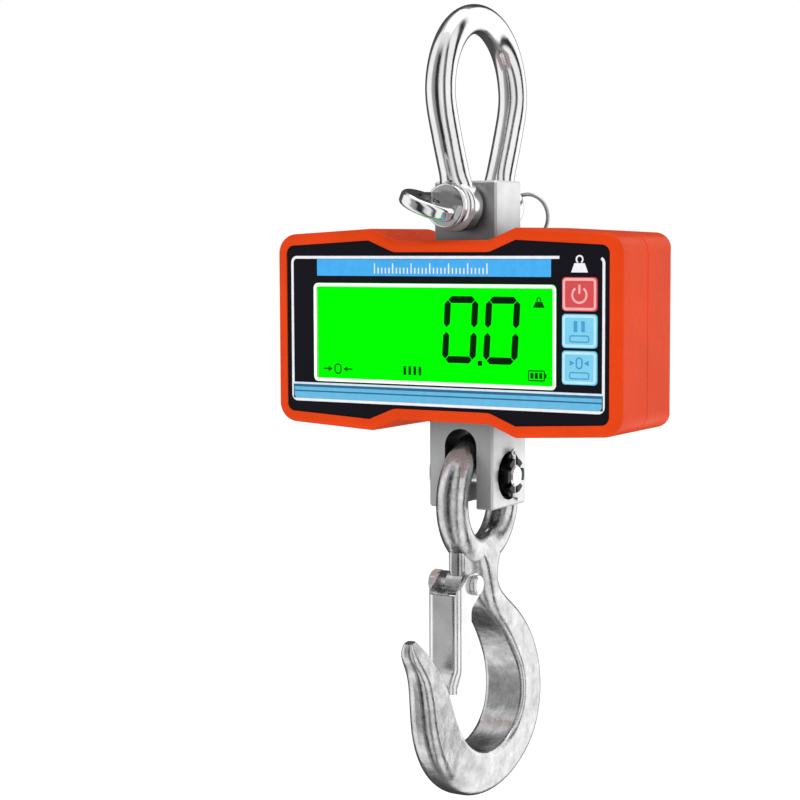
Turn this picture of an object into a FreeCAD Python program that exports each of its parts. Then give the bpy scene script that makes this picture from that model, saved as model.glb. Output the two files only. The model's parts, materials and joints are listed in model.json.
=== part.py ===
import FreeCAD, Part
import math
import os

# Hanging crane scale: a bow shackle on top, a load cell block that runs down
# through a plastic case with the display, and an eye hook with a safety latch.
# Millimetres. Origin: the inside of the shackle's crown, where it is hung.
# +Z up, +X to the right of a person reading the display, the display faces -Y.

V = FreeCAD.Vector
X_AXIS, Y_AXIS, Z_AXIS = V(1, 0, 0), V(0, 1, 0), V(0, 0, 1)

# ---- Driving dimensions ----------------------------------------------------
RUN = 0.1                      # radial clearance of a running fit
SNUG = 0.02                    # radial clearance of a screwed or pushed fit

# Shackle
BAR_R = 6.6                    # round bar of the bow
BOW_INNER_R = 27.2             # inside of the crown
BOW_R = BOW_INNER_R + BAR_R    # centre line of the crown
PIN_Z = -76.8
PIN_R = 7.0
EAR_R = 11.4
EAR_IN, EAR_OUT = 12.8, 26.2   # faces of each ear, from the middle
EAR_ROUND = 3.8                # rounding of the ears' rims
COLLAR_R, COLLAR_T = 9.9, 4.0
PIN_END_R = 4.0
PIN_END_Y = 34.0
RING_R, RING_WIRE_R = 10.6, 0.85
RING_Y = 30.2
RING_TILT = 26.0               # the ring's middle hangs this far below the side

# Load cell
CASE_Z = -131.8                # middle height of the case
TANG_HX, TANG_HY, TANG_TOP = 15.8, 12.0, -65.5
CELL_H = 16.25                 # half width of the square lower block
CELL_BOTTOM = CASE_Z - 80.2
CELL_STEP = 36.5               # the sections change inside the case
BOLT_Z = CASE_Z - 66.0
BOLT_R = 5.0
SLOT_HX = 8.1                  # half width of the slot for the hook's eye
SLOT_TOP = BOLT_Z + 21.7
GAUGE_HX, GAUGE_HZ = 8.0, 7.0

# Hook bolt: low head and washer on the left, castle nut on the right
WASHER_T, WASHER_R = 1.0, 9.6
NUT_SINK = 4.6                 # depth of the round seat that holds the nut
NUT_FACE = CELL_H - NUT_SINK
SEAT_R = 11.0
FLATS = 17.0                   # across the flats of head and nut
HEAD_T, NUT_T = 3.4, 8.0
HEAD_X = CELL_H + WASHER_T     # clamping face of the head, from the middle
BOLT_END = NUT_FACE + NUT_T + 0.6
SPLIT_X = NUT_FACE + NUT_T - 1.4

# Case
HALF_W = 86.35
LOBE_H, SIDE_H, NOTCH_H = 45.3, 42.6, 40.0
LOBE_X, NOTCH_X = 36.0, 23.0
CORNER_R, NOTCH_R = 9.0, 4.0
RIM_Y = -34.4                  # front of the rim
PARTING_Y = -7.0
REAR_Y = 21.6
REAR_EDGE_R = 5.0
FRONT_EDGE_R = 2.8
WALL = 2.6
RIM_W = 5.2
PANEL_Y = -33.8                # printed face of the panel
PANEL_T = 0.5
WALL_FRONT = PANEL_Y + PANEL_T
WALL_BACK = -31.0
REAR_IN = REAR_Y - WALL
CELL_GAP = 1.3                 # round the load cell, filled by the seals

# Display: left, right, bottom, top of the clear window, from the case's middle
WINDOW = (-66.8, 56.1, -23.8, 20.9)
WINDOW_T = 2.1
GLASS = (-66.4, 55.6, -23.3, 25.0)
GLASS_Y, GLASS_T, LIGHT_T = -30.9, 2.4, 3.1

# Keys: middles and size
KEY_X = 67.2
KEY_W, KEY_H = 16.4, 14.4
KEY_Z = {"power_key": 17.1, "hold_key": 1.6, "zero_key": -13.9}
KEY_FRONT = -34.3
KEY_GAP = 0.2
KEY_TRAVEL = 0.6
KEY_FLANGE = 0.8               # the flange is this much wider than the cap, each side
KEY_BACK = WALL_BACK + 1.05

# Circuit board
BOARD_FRONT, BOARD_T = -24.6, 1.6
BOARD_BACK = BOARD_FRONT + BOARD_T
BOARD = (-75.0, 80.0, -29.5, 29.5)
BOARD_SCREWS = [(-71.4, 25.0), (-71.4, -25.0), (62.0, 27.0), (62.0, -27.0)]

# Batteries: three upright cells behind the right half of the case
CELL_D, CELL_L = 14.4, 50.4
CELL_X = [33.0, 48.2, 63.4]
CELL_Y = 10.3
TRAY = (25.2, 71.2, -28.6, 28.6)
TRAY_T = 1.4
TRAY_FLOOR = 1.4
DOOR = (15.8, 75.2, -31.2, 31.2)
DOOR_T = 2.0
DOOR_SCREWS = [(20.2, 20.0), (20.2, -20.0)]

CASE_SCREWS = [(-75.5, 33.2), (75.5, 33.2), (-75.5, -33.2), (75.5, -33.2), (-30.0, -34.2), (30.0, -34.2)]
BRACKET_BOSSES = [-29.0, 29.0]
BOSS_Z = 33.6                  # bracket posts, above the case's middle

# Hook: the eye is a round ring that hangs on the bolt
EYE_BAR_R = 7.2
EYE_IN_R = 16.8
EYE_R = EYE_IN_R + EYE_BAR_R
EYE_Z = BOLT_Z + BOLT_R + 0.05 - EYE_IN_R
LATCH_PIN_Y, LATCH_PIN_Z = -18.0, CASE_Z - 114.0
LATCH_PIN_R = 3.0
LUG_HX, LUG_R = 4.0, 5.6
RIB_Y = -22.0                  # front of the rib between lug and eye
RIB_ROUND = 2.8
LATCH_IN, LATCH_T = 6.6, 1.5   # inner half width and sheet thickness
LATCH_WEB_Y = -33.0
FOLD_R = 3.4                   # outside radius of the channel's two folds
LATCH_END = CASE_Z - 160.5


# ---- Shape helpers ---------------------------------------------------------
def box(x0, x1, y0, y1, z0, z1):
    return Part.makeBox(x1 - x0, y1 - y0, z1 - z0, V(x0, y0, z0))


def rod(start, axis, radius, length):
    return Part.makeCylinder(radius, length, start, axis)


def tube(start, axis, outer, inner, length):
    return rod(start, axis, outer, length).cut(rod(start, axis, inner, length))


def join(shapes):
    return shapes[0].multiFuse(shapes[1:]).removeSplitter()


def group(shapes):
    return Part.makeCompound(shapes)


def rounded_loop(corners, place):
    """Closed wire through (u, v, radius) corners, each rounded by an arc."""
    starts, middles, ends = [], [], []
    count = len(corners)
    for i, (u, v, radius) in enumerate(corners):
        before, after = corners[i - 1], corners[(i + 1) % count]
        here = V(u, v, 0)
        to_before = (V(before[0], before[1], 0) - here).normalize()
        to_after = (V(after[0], after[1], 0) - here).normalize()
        half = to_before.getAngle(to_after) / 2
        reach = radius / math.tan(half)
        bisector = (to_before + to_after).normalize()
        starts.append(here + to_before * reach)
        ends.append(here + to_after * reach)
        middles.append(here + bisector * (radius / math.sin(half) - radius))
    edges = []
    for i in range(count):
        arc = Part.Arc(*[place(p.x, p.y) for p in (starts[i], middles[i], ends[i])])
        edges.append(arc.toShape())
        nxt = (i + 1) % count
        edges.append(Part.makeLine(place(ends[i].x, ends[i].y), place(starts[nxt].x, starts[nxt].y)))
    return Part.Wire(edges)


def front_plate(area, y0, y1, radius):
    """Rounded rectangle given as (left, right, bottom, top) about the case's middle."""
    left, right, bottom, top = area
    corners = [(left, bottom, radius), (right, bottom, radius), (right, top, radius), (left, top, radius)]
    wire = rounded_loop(corners, lambda u, v: V(u, y0, CASE_Z + v))
    return Part.Face(wire).extrude(V(0, y1 - y0, 0))


def grown(area, by):
    left, right, bottom, top = area
    return (left - by, right + by, bottom - by, top + by)


def hex_prism(start, axis, side, across_flats, length):
    """Hexagon along axis with one flat facing the side direction."""
    corner = across_flats / math.sqrt(3)
    up = axis.cross(side)
    points = []
    for i in range(6):
        angle = math.radians(60 * i + 30)
        points.append(start + side * (corner * math.cos(angle)) + up * (corner * math.sin(angle)))
    face = Part.Face(Part.makePolygon(points + points[:1]))
    return face.extrude(axis * length)


def wire_rope(points, radius):
    """Round wire or cable along a smooth curve through the points."""
    curve = Part.BSplineCurve()
    curve.interpolate([V(*p) for p in points])
    path = Part.Wire(curve.toShape())
    start_dir = curve.tangent(curve.FirstParameter)[0]
    profile = Part.Wire(Part.makeCircle(radius, V(*points[0]), start_dir))
    return path.makePipeShell([profile], True, False)


def pan_screw(head, axis, head_r, head_t, shaft_r, length):
    """Pan head under the given point, shaft along axis, with a cross recess."""
    cap = rod(head - axis * head_t, axis, head_r, head_t)
    top = head - axis * head_t
    rim = [e for e in cap.Edges if e.Closed and (e.CenterOfMass - top).Length < 0.01]
    cap = cap.makeFillet(head_t * 0.45, rim)
    shaft = rod(head, axis, shaft_r, length)
    side, other = Z_AXIS, axis.cross(Z_AXIS)
    cuts = []
    arm, half, deep = head_r * 0.62, head_r * 0.13, head_t * 0.6
    for along, across in ((side, other), (other, side)):
        ends = [(-arm, -half), (arm, -half), (arm, half), (-arm, half)]
        pts = [top + along * a + across * b for a, b in ends]
        cuts.append(Part.Face(Part.makePolygon(pts + pts[:1])).extrude(axis * deep))
    return cap.fuse(shaft).cut(cuts[0]).cut(cuts[1]).removeSplitter()


# ---- Shackle ---------------------------------------------------------------
# One leg from the ear up to the crown: distance from the middle, height and
# half width along X, which grows where the bar spreads into the ear.
LEG = [(19.5, -79.0, 10.8), (19.5, -75.0, 10.4), (19.7, -70.6, 8.7), (20.5, -66.0, 7.1), (22.8, -59.6, BAR_R),
       (25.9, -52.2, BAR_R), (29.3, -43.6, BAR_R), (32.5, -34.6, BAR_R)]
CROWN_STEP = 15                # degrees between the crown's sections


def bow_path():
    """Places along the bow as (y, z, half width), from the front ear to the rear one."""
    crown = []
    for angle in range(0, 181, CROWN_STEP):
        turn = math.radians(angle)
        crown.append((-BOW_R * math.cos(turn), -BOW_INNER_R + BOW_R * math.sin(turn), BAR_R))
    front = [(-y, z, half_x) for y, z, half_x in LEG]
    return front + crown + LEG[::-1]


def shackle_bow():
    """Round bar in one sweep over the crown, with an ear at each end."""
    path = bow_path()
    sections = []
    for i, (y, z, half_x) in enumerate(path):
        before, after = path[max(i - 1, 0)], path[min(i + 1, len(path) - 1)]
        heading = math.degrees(math.atan2(before[0] - after[0], after[1] - before[1]))
        section = Part.Wire(Part.Ellipse(V(0, 0, 0), half_x, BAR_R).toShape())
        section.rotate(V(0, 0, 0), X_AXIS, heading)
        section.translate(V(0, y, z))
        sections.append(section)
    ears = []
    for side in (-1, 1):
        ear = rod(V(0, side * EAR_IN, PIN_Z), Y_AXIS * side, EAR_R, EAR_OUT - EAR_IN)
        rims = [e for e in ear.Edges if e.Length > 2 * math.pi * EAR_R * 0.9]
        ears.append(ear.makeFillet(EAR_ROUND, rims))
    bow = join([Part.makeLoft(sections, True, False)] + ears)
    spot_face = rod(V(0, -EAR_OUT, PIN_Z), Y_AXIS * -1, COLLAR_R + 0.4, 8)
    bow = bow.cut(spot_face)
    plain_hole = rod(V(0, -EAR_OUT - 5, PIN_Z), Y_AXIS, PIN_R + RUN, EAR_OUT)
    threaded_hole = rod(V(0, 0, PIN_Z), Y_AXIS, PIN_R + SNUG, EAR_OUT + 5)
    return bow.cut(plain_hole).cut(threaded_hole)


def shackle_pin():
    """Screw pin with a collar, a flat eye to turn it by and a drilled end."""
    collar_y = -EAR_OUT - 0.1
    shank = rod(V(0, collar_y - 1, PIN_Z), Y_AXIS, PIN_R, EAR_OUT + 1 - collar_y)
    end = rod(V(0, EAR_OUT, PIN_Z), Y_AXIS, PIN_END_R, PIN_END_Y - EAR_OUT)
    end = end.makeChamfer(0.8, [e for e in end.Edges if e.CenterOfMass.y > PIN_END_Y - 0.1 and e.Closed][:1])
    collar = rod(V(0, collar_y - COLLAR_T, PIN_Z), Y_AXIS, COLLAR_R, COLLAR_T)
    collar = collar.makeFillet(1.2, [e for e in collar.Edges if e.Length > 50])
    eye_y, eye_r, eye_t = -45.5, 12.4, 6.4
    disc = rod(V(0, eye_y, PIN_Z - eye_t / 2), Z_AXIS, eye_r, eye_t)
    disc = disc.makeFillet(2.2, [e for e in disc.Edges if e.Length > 50])
    neck = box(-7.5, 7.5, eye_y + 8, collar_y - 1, PIN_Z - eye_t / 2, PIN_Z + eye_t / 2)
    hole = rod(V(0, eye_y - 0.5, PIN_Z - eye_t), Z_AXIS, 5.0, 2 * eye_t)
    eye = disc.fuse(neck).cut(hole)
    eye.rotate(V(0, 0, PIN_Z), Y_AXIS, 24)
    pin = join([shank, end, collar, eye])
    ring_hole = rod(V(0, RING_Y, PIN_Z) - ring_axis() * 8, ring_axis(), 1.8, 16)
    return pin.cut(ring_hole)


def ring_axis():
    """Direction of the drilled hole that the keeper ring passes through."""
    tilt = math.radians(RING_TILT)
    return V(math.sin(tilt), 0, math.cos(tilt))


def keeper_ring():
    tilt = math.radians(RING_TILT)
    middle = V(RING_R * math.cos(tilt), RING_Y, PIN_Z - RING_R * math.sin(tilt))
    return Part.makeTorus(RING_R, RING_WIRE_R, middle, Y_AXIS)


# ---- Load cell -------------------------------------------------------------
def load_cell():
    """One machined block: tang, S-shaped measuring part, fork."""
    tang = box(-TANG_HX, TANG_HX, -TANG_HY, TANG_HY, CASE_Z + CELL_STEP, TANG_TOP)
    middle = box(-CELL_H, CELL_H, -TANG_HY, TANG_HY, CASE_Z - CELL_STEP, CASE_Z + CELL_STEP)
    fork = box(-CELL_H, CELL_H, -CELL_H, CELL_H, CELL_BOTTOM, CASE_Z - CELL_STEP)
    tang = tang.makeChamfer(0.9, [e for e in tang.Edges if e.CenterOfMass.z > CASE_Z + CELL_STEP + 1])
    fork = fork.makeChamfer(0.9, [e for e in fork.Edges if e.CenterOfMass.z < CASE_Z - CELL_STEP - 1])
    block = join([tang, middle, fork])
    slot_low = box(-SLOT_HX, SLOT_HX, -CELL_H - 1, CELL_H + 1, CELL_BOTTOM - 1, SLOT_TOP - SLOT_HX)
    slot_arch = rod(V(0, -CELL_H - 1, SLOT_TOP - SLOT_HX), Y_AXIS, SLOT_HX, 2 * CELL_H + 2)
    cut_h, cut_reach = 1.5, 8.0
    saws = []
    for side, level in ((1, 16.0), (-1, -16.0)):
        z = CASE_Z + level
        x0, x1 = sorted((side * (CELL_H + 1), -side * cut_reach))
        saws.append(box(x0, x1, -CELL_H, CELL_H, z - cut_h, z + cut_h))
        saws.append(rod(V(-side * cut_reach, -CELL_H, z), Y_AXIS, cut_h * 1.6, 2 * CELL_H))
    window = front_plate((-GAUGE_HX, GAUGE_HX, -GAUGE_HZ, GAUGE_HZ), -CELL_H, CELL_H, 2.5)
    pin_hole = rod(V(0, -TANG_HY - 1, PIN_Z), Y_AXIS, PIN_R + RUN, 2 * TANG_HY + 2)
    bolt_hole = rod(V(-CELL_H - 1, 0, BOLT_Z), X_AXIS, BOLT_R, 2 * CELL_H + 2)
    nut_seat = rod(V(NUT_FACE, 0, BOLT_Z), X_AXIS, SEAT_R, NUT_SINK + 1)
    for tool in [slot_low, slot_arch, window, pin_hole, bolt_hole, nut_seat] + saws:
        block = block.cut(tool)
    return block.cut(group([s[1] for s in bracket_to_cell_screws()])).removeSplitter()


def strain_gauges():
    """Four foil gauges on the roof and floor of the measuring window."""
    gauge_t = 0.25
    pads = []
    for y in (-5.5, 5.5):
        for z0 in (GAUGE_HZ - gauge_t, -GAUGE_HZ):
            pads.append(box(-3, 3, y - 2, y + 2, CASE_Z + z0, CASE_Z + z0 + gauge_t))
    return group(pads)


def gauge_covers():
    """Thin plates that close the measuring window; the front one lets the cable out."""
    area = (-GAUGE_HX - 2, GAUGE_HX + 2, -GAUGE_HZ - 2, GAUGE_HZ + 2)
    front = front_plate(area, -TANG_HY - 0.8, -TANG_HY, 3)
    rear = front_plate(area, TANG_HY, TANG_HY + 0.8, 3)
    hole = rod(V(0, -TANG_HY - 2, CASE_Z), Y_AXIS, 2.4, 3)
    return group([front.cut(hole), rear])


# ---- Case ------------------------------------------------------------------
def case_loop(y, inset=0.0):
    """Outline of the case: two lobes with a shallow notch above and below."""
    half = [(-HALF_W, SIDE_H, CORNER_R), (-LOBE_X, LOBE_H, NOTCH_R), (-NOTCH_X, NOTCH_H, NOTCH_R)]
    top = half + [(-u, v, r) for u, v, r in reversed(half)]
    corners = top + [(u, -v, r) for u, v, r in reversed(top)]
    wire = rounded_loop(corners, lambda u, v: V(u, y, CASE_Z + v))
    return wire.makeOffset2D(-inset) if inset else wire


def case_prism(y0, y1, inset=0.0):
    return Part.Face(case_loop(y0, inset)).extrude(V(0, y1 - y0, 0))


def cell_openings():
    """Holes in the notch walls where the load cell passes through."""
    gap = CELL_GAP
    top = box(-TANG_HX - gap, TANG_HX + gap, -TANG_HY - gap, TANG_HY + gap, CASE_Z + 30, CASE_Z + NOTCH_H + 9)
    low = box(-CELL_H - gap, CELL_H + gap, -CELL_H - gap, CELL_H + gap, CASE_Z - NOTCH_H - 9, CASE_Z - 30)
    return group([top, low])


def gasket_ring(play=0.0):
    outer = case_prism(PARTING_Y - 0.6 - play, PARTING_Y + 0.6 + play, 0.9)
    inner = case_prism(PARTING_Y - 0.6 - play, PARTING_Y + 0.6 + play, 1.9)
    return outer.cut(inner)


def case_gasket():
    """Rubber cord between the two halves, broken where the load cell passes."""
    return gasket_ring().cut(cell_openings())


def key_area(name, by=0.0):
    half_w, half_h = KEY_W / 2 + by, KEY_H / 2 + by
    middle = KEY_Z[name]
    return (KEY_X - half_w, KEY_X + half_w, middle - half_h, middle + half_h)


def front_cover():
    """Front half: rounded rim, recess for the panel, openings, screw posts."""
    shell = case_prism(RIM_Y, PARTING_Y)
    front_edges = [e for e in shell.Edges if abs(e.BoundBox.YMax - RIM_Y) < 0.01]
    shell = shell.makeFillet(FRONT_EDGE_R, front_edges)
    joint_edges = [e for e in shell.Edges if abs(e.BoundBox.YMin - PARTING_Y) < 0.01]
    shell = shell.makeChamfer(0.5, joint_edges)
    shell = shell.cut(case_prism(WALL_BACK, PARTING_Y + 1, WALL))
    shell = shell.cut(case_prism(RIM_Y - 1, WALL_FRONT, RIM_W))
    posts = [rod(V(x, WALL_BACK - 0.5, CASE_Z + z), Y_AXIS, 3.6, PARTING_Y - WALL_BACK + 0.5)
             for x, z in CASE_SCREWS]
    posts += [rod(V(x, WALL_BACK - 0.5, CASE_Z + z), Y_AXIS, 2.2, BOARD_FRONT - WALL_BACK + 0.5)
              for x, z in BOARD_SCREWS]
    shell = join([shell] + posts)
    cuts = [front_plate(grown(WINDOW, 0.15), RIM_Y - 1, WALL_BACK + 1, 2.2)]
    cuts += [front_plate(key_area(name, KEY_GAP), RIM_Y - 1, WALL_BACK + 1, 1.8) for name in KEY_Z]
    cuts += [rod(V(x, -25, CASE_Z + z), Y_AXIS, 1.5, 20) for x, z in CASE_SCREWS]
    cuts += [rod(V(x, WALL_BACK + 0.6, CASE_Z + z), Y_AXIS, 1.0, 10) for x, z in BOARD_SCREWS]
    cuts.append(rod(V(-73.2, WALL_FRONT - 1, CASE_Z), Y_AXIS, 2.6, 5))
    cuts += [gasket_ring(0.02), cell_openings()]
    for tool in cuts:
        shell = shell.cut(tool)
    return shell


def rear_cover():
    """Rear half: softly rounded back with the battery opening and screw posts."""
    shell = case_prism(PARTING_Y, REAR_Y)
    pillow = box(-HALF_W, HALF_W, PARTING_Y - 40, REAR_Y, CASE_Z - LOBE_H, CASE_Z + LOBE_H)
    long_edges = [e for e in pillow.Edges if e.BoundBox.YLength > 20]
    pillow = pillow.makeFillet(CORNER_R, long_edges)
    back_edges = [e for e in pillow.Edges if e.BoundBox.YMin > REAR_Y - 0.01]
    pillow = pillow.makeFillet(REAR_EDGE_R, back_edges)
    shell = shell.common(pillow)
    joint_edges = [e for e in shell.Edges if abs(e.BoundBox.YMax - PARTING_Y) < 0.01]
    shell = shell.makeChamfer(0.5, joint_edges)
    hollow = case_prism(PARTING_Y - 1, REAR_IN, WALL)
    room = box(-HALF_W + WALL, HALF_W - WALL, PARTING_Y - 40, REAR_IN,
               CASE_Z - LOBE_H + WALL, CASE_Z + LOBE_H - WALL)
    room = room.makeFillet(REAR_EDGE_R - WALL, [e for e in room.Edges if e.BoundBox.YMin > REAR_IN - 0.01])
    shell = shell.cut(hollow.common(room))
    posts = [rod(V(x, PARTING_Y, CASE_Z + z), Y_AXIS, 3.6, REAR_IN - PARTING_Y + 0.5) for x, z in CASE_SCREWS]
    posts += [rod(V(x, 8, CASE_Z + z), Y_AXIS, 2.9, REAR_IN - 7.5) for x, z in DOOR_SCREWS]
    posts += [rod(V(x, TANG_HY + 2, CASE_Z + BOSS_Z), Y_AXIS, 2.8, REAR_IN - TANG_HY - 1.5)
              for x in BRACKET_BOSSES]
    shell = join([shell] + posts)
    cuts = [front_plate(grown(DOOR, 0.2), REAR_Y - DOOR_T, REAR_Y + 1, 3.2)]
    cuts.append(front_plate(grown(TRAY, -0.4), REAR_IN - 3, REAR_Y + 1, 2))
    for x, z in CASE_SCREWS:
        cuts.append(rod(V(x, PARTING_Y - 1, CASE_Z + z), Y_AXIS, 1.7, 40))
        cuts.append(rod(V(x, REAR_Y - 3.2, CASE_Z + z), Y_AXIS, 3.1, 10))
    cuts += [rod(V(x, 9, CASE_Z + z), Y_AXIS, 1.25, 20) for x, z in DOOR_SCREWS]
    cuts += [rod(V(x, TANG_HY, CASE_Z + BOSS_Z), Y_AXIS, 1.25, 5.5) for x in BRACKET_BOSSES]
    cuts += [gasket_ring(0.02), cell_openings()]
    for tool in cuts:
        shell = shell.cut(tool)
    return shell


def case_screws():
    return group([pan_screw(V(x, REAR_Y - 3.2, CASE_Z + z), Y_AXIS * -1, 2.7, 2.0, 1.5, 40)
                  for x, z in CASE_SCREWS])


def cell_seal(half_x, half_y, z_top, z_bottom, play):
    """Rubber sleeve between the load cell and the case wall, with an inside flange."""
    outer = box(-half_x - CELL_GAP, half_x + CELL_GAP, -half_y - CELL_GAP, half_y + CELL_GAP, z_bottom, z_top)
    inner = box(-half_x - play, half_x + play, -half_y - play, half_y + play, z_bottom - 1, z_top + 1)
    return outer.cut(inner)


def upper_seal():
    top = CASE_Z + NOTCH_H
    return cell_seal(TANG_HX, TANG_HY, top - 0.5, top - WALL, 0.0)


def lower_seal():
    bottom = CASE_Z - NOTCH_H
    return cell_seal(CELL_H, CELL_H, bottom + WALL, bottom + 0.5, 0.15)


# ---- Panel and display -----------------------------------------------------
def panel_overlay():
    """Printed sheet in the recess of the rim, with openings for window and keys."""
    sheet = case_prism(PANEL_Y, WALL_FRONT, RIM_W + 0.1)
    sheet = sheet.cut(front_plate(grown(WINDOW, 0.1), PANEL_Y - 1, WALL_FRONT + 1, 2.1))
    for name in KEY_Z:
        sheet = sheet.cut(front_plate(key_area(name, KEY_GAP), PANEL_Y - 1, WALL_FRONT + 1, 1.8))
    return sheet


def lcd_window():
    return front_plate(WINDOW, PANEL_Y + 0.15, PANEL_Y + 0.15 + WINDOW_T, 2.0)


def lcd_glass():
    """Two bonded glass sheets; the front one is a little shorter, as on any LCD."""
    front = front_plate((GLASS[0], GLASS[1], GLASS[2], GLASS[3] - 2.5), GLASS_Y, GLASS_Y + GLASS_T / 2, 0.6)
    rear = front_plate(GLASS, GLASS_Y + GLASS_T / 2, GLASS_Y + GLASS_T, 0.6)
    return join([front, rear])


def lcd_backlight():
    back = GLASS_Y + GLASS_T
    return front_plate((GLASS[0], GLASS[1], GLASS[2], GLASS[3] - 3.0), back, back + LIGHT_T, 1.0)


def lcd_frame():
    """Plastic frame that holds glass and backlight against the front wall."""
    area = grown(GLASS, 1.6)
    frame = front_plate(area, WALL_BACK, BOARD_FRONT, 1.5)
    return frame.cut(front_plate(grown(GLASS, 0.1), WALL_BACK - 1, BOARD_FRONT + 1, 0.8))


def lcd_contact_strip():
    """Rubber strip that joins the glass contacts to the board."""
    back = GLASS_Y + GLASS_T
    top = CASE_Z + GLASS[3] - 0.4
    return box(GLASS[0] + 4, GLASS[1] - 4, back, BOARD_FRONT, top - 2.2, top)


def key(name):
    """Key cap with rounded front edges and a retaining flange behind the wall."""
    left, right, bottom, top = key_area(name)
    cap = front_plate((left, right, bottom, top), KEY_FRONT, WALL_BACK + 0.1, 1.6)
    cap = cap.makeFillet(0.45, [e for e in cap.Edges if abs(e.BoundBox.YMax - KEY_FRONT) < 0.01])
    flange_area = (left - KEY_FLANGE, right + KEY_FLANGE, bottom, top)
    flange = front_plate(flange_area, WALL_BACK + 0.05, KEY_BACK, 1.0)
    return join([cap, flange])


# ---- Electronics -----------------------------------------------------------
def main_board():
    board = front_plate(BOARD, BOARD_FRONT, BOARD_BACK, 2.0)
    for x, z in BOARD_SCREWS:
        board = board.cut(rod(V(x, BOARD_FRONT - 1, CASE_Z + z), Y_AXIS, 1.3, 4))
    for x, z in [(x, z) for x, z in CASE_SCREWS if abs(x) > 50]:
        board = board.cut(rod(V(x, BOARD_FRONT - 1, CASE_Z + z), Y_AXIS, 4.2, 4))
    return board


def board_screws():
    return group([pan_screw(V(x, BOARD_BACK, CASE_Z + z), Y_AXIS * -1, 2.1, 1.5, 1.0, 6.5)
                  for x, z in BOARD_SCREWS])


def tact_switches():
    """A square switch behind each key, its plunger just short of the key."""
    body_t, plunger_gap = 3.6, 0.05
    plunger_top = KEY_BACK + KEY_TRAVEL + plunger_gap
    switches = []
    for middle in KEY_Z.values():
        area = (KEY_X - 3, KEY_X + 3, middle - 3, middle + 3)
        body = front_plate(area, BOARD_FRONT - body_t, BOARD_FRONT, 0.3)
        plunger = rod(V(KEY_X, plunger_top, CASE_Z + middle), Y_AXIS, 1.7, BOARD_FRONT - 1 - plunger_top)
        switches.append(join([body, plunger]))
    return group(switches)


def board_chips():
    """Processor, converter, memory and regulator on the back of the board."""
    places = [(-52, 8, 12, 12, 1.8), (-34, -12, 9, 6, 1.6), (-52, -12, 6, 5, 1.5), (50, -14, 7, 6, 2.2)]
    return group([front_plate((x - w / 2, x + w / 2, z - h / 2, z + h / 2), BOARD_BACK, BOARD_BACK + t, 0.3)
                  for x, z, w, h, t in places])


def board_connectors():
    """Two small wire headers: load cell on the left, battery on the right."""
    sockets = []
    for x, z in ((-26.0, 14.0), (24.0, -8.0)):
        socket = front_plate((x - 5, x + 5, z - 3, z + 3), BOARD_BACK, BOARD_BACK + 5, 0.4)
        room = front_plate((x - 4, x + 4, z - 2, z + 2), BOARD_BACK + 1.2, BOARD_BACK + 6, 0.3)
        sockets.append(socket.cut(room))
    return group(sockets)


def beeper():
    can = rod(V(44, BOARD_BACK, CASE_Z + 12), Y_AXIS, 6.0, 5.2)
    can = can.makeFillet(0.6, [e for e in can.Edges if e.BoundBox.YMin > BOARD_BACK + 5])
    return can.cut(rod(V(44, BOARD_BACK + 4, CASE_Z + 12), Y_AXIS, 1.0, 3))


def ir_receiver():
    """Receiver for a hand-held remote control, looking out through the dark panel."""
    body = box(-75.4, -71.0, BOARD_FRONT - 4.2, BOARD_FRONT, CASE_Z - 3.2, CASE_Z + 3.2)
    lens = Part.makeSphere(1.9, V(-73.2, BOARD_FRONT - 4.2, CASE_Z))
    return join([body, lens])


def gauge_cable():
    start = (0, -TANG_HY + 1, CASE_Z)
    turn = (-1.2, -TANG_HY - 2.6, CASE_Z + 0.4)
    across = (-14, -TANG_HY - 4.6, CASE_Z + 9)
    arrive = (-24, -TANG_HY - 4.0, CASE_Z + 14)
    into = (-26, BOARD_BACK + 1.4, CASE_Z + 14)
    return wire_rope([start, turn, across, arrive, into], 1.3)


def battery_leads():
    """Two wires from the battery tray to the board."""
    leads = []
    for side in (-1, 1):
        offset = side * 1.3
        points = [(TRAY[0] + 2, TRAY_FLOOR - 0.6, CASE_Z - 6 + offset * 2),
                  (26, -5, CASE_Z - 7 + offset * 1.5),
                  (24.2 + offset, -14, CASE_Z - 8 + offset * 0.3),
                  (24 + offset, BOARD_BACK + 1.4, CASE_Z - 8)]
        leads.append(wire_rope(points, 0.8))
    return group(leads)


# ---- Batteries -------------------------------------------------------------
def battery_tray():
    """Open box behind the door that holds the three cells."""
    outer = front_plate(grown(TRAY, TRAY_T), TRAY_FLOOR, REAR_IN, 2.5)
    inner = front_plate(TRAY, TRAY_FLOOR + TRAY_T, REAR_IN + 1, 1.5)
    tray = outer.cut(inner)
    for x in ((CELL_X[0] + CELL_X[1]) / 2, (CELL_X[1] + CELL_X[2]) / 2):
        rib = box(x - 0.3, x + 0.3, TRAY_FLOOR + 0.5, TRAY_FLOOR + 4, CASE_Z - 20, CASE_Z + 20)
        tray = tray.fuse(rib)
    return tray.removeSplitter()


def battery_cells():
    """Three AA cells standing side by side, every second one upside down."""
    cells = []
    for i, x in enumerate(CELL_X):
        up = 1 if i % 2 == 0 else -1
        can_l = CELL_L - 1.2
        start = V(x, CELL_Y, CASE_Z - up * CELL_L / 2)
        can = rod(start, Z_AXIS * up, CELL_D / 2, can_l)
        can = can.makeFillet(0.8, [e for e in can.Edges if e.Length > 40])
        cap = rod(start + Z_AXIS * (up * (can_l - 0.5)), Z_AXIS * up, 2.7, 1.7)
        cells.append(join([can, cap]))
    return group(cells)


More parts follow.
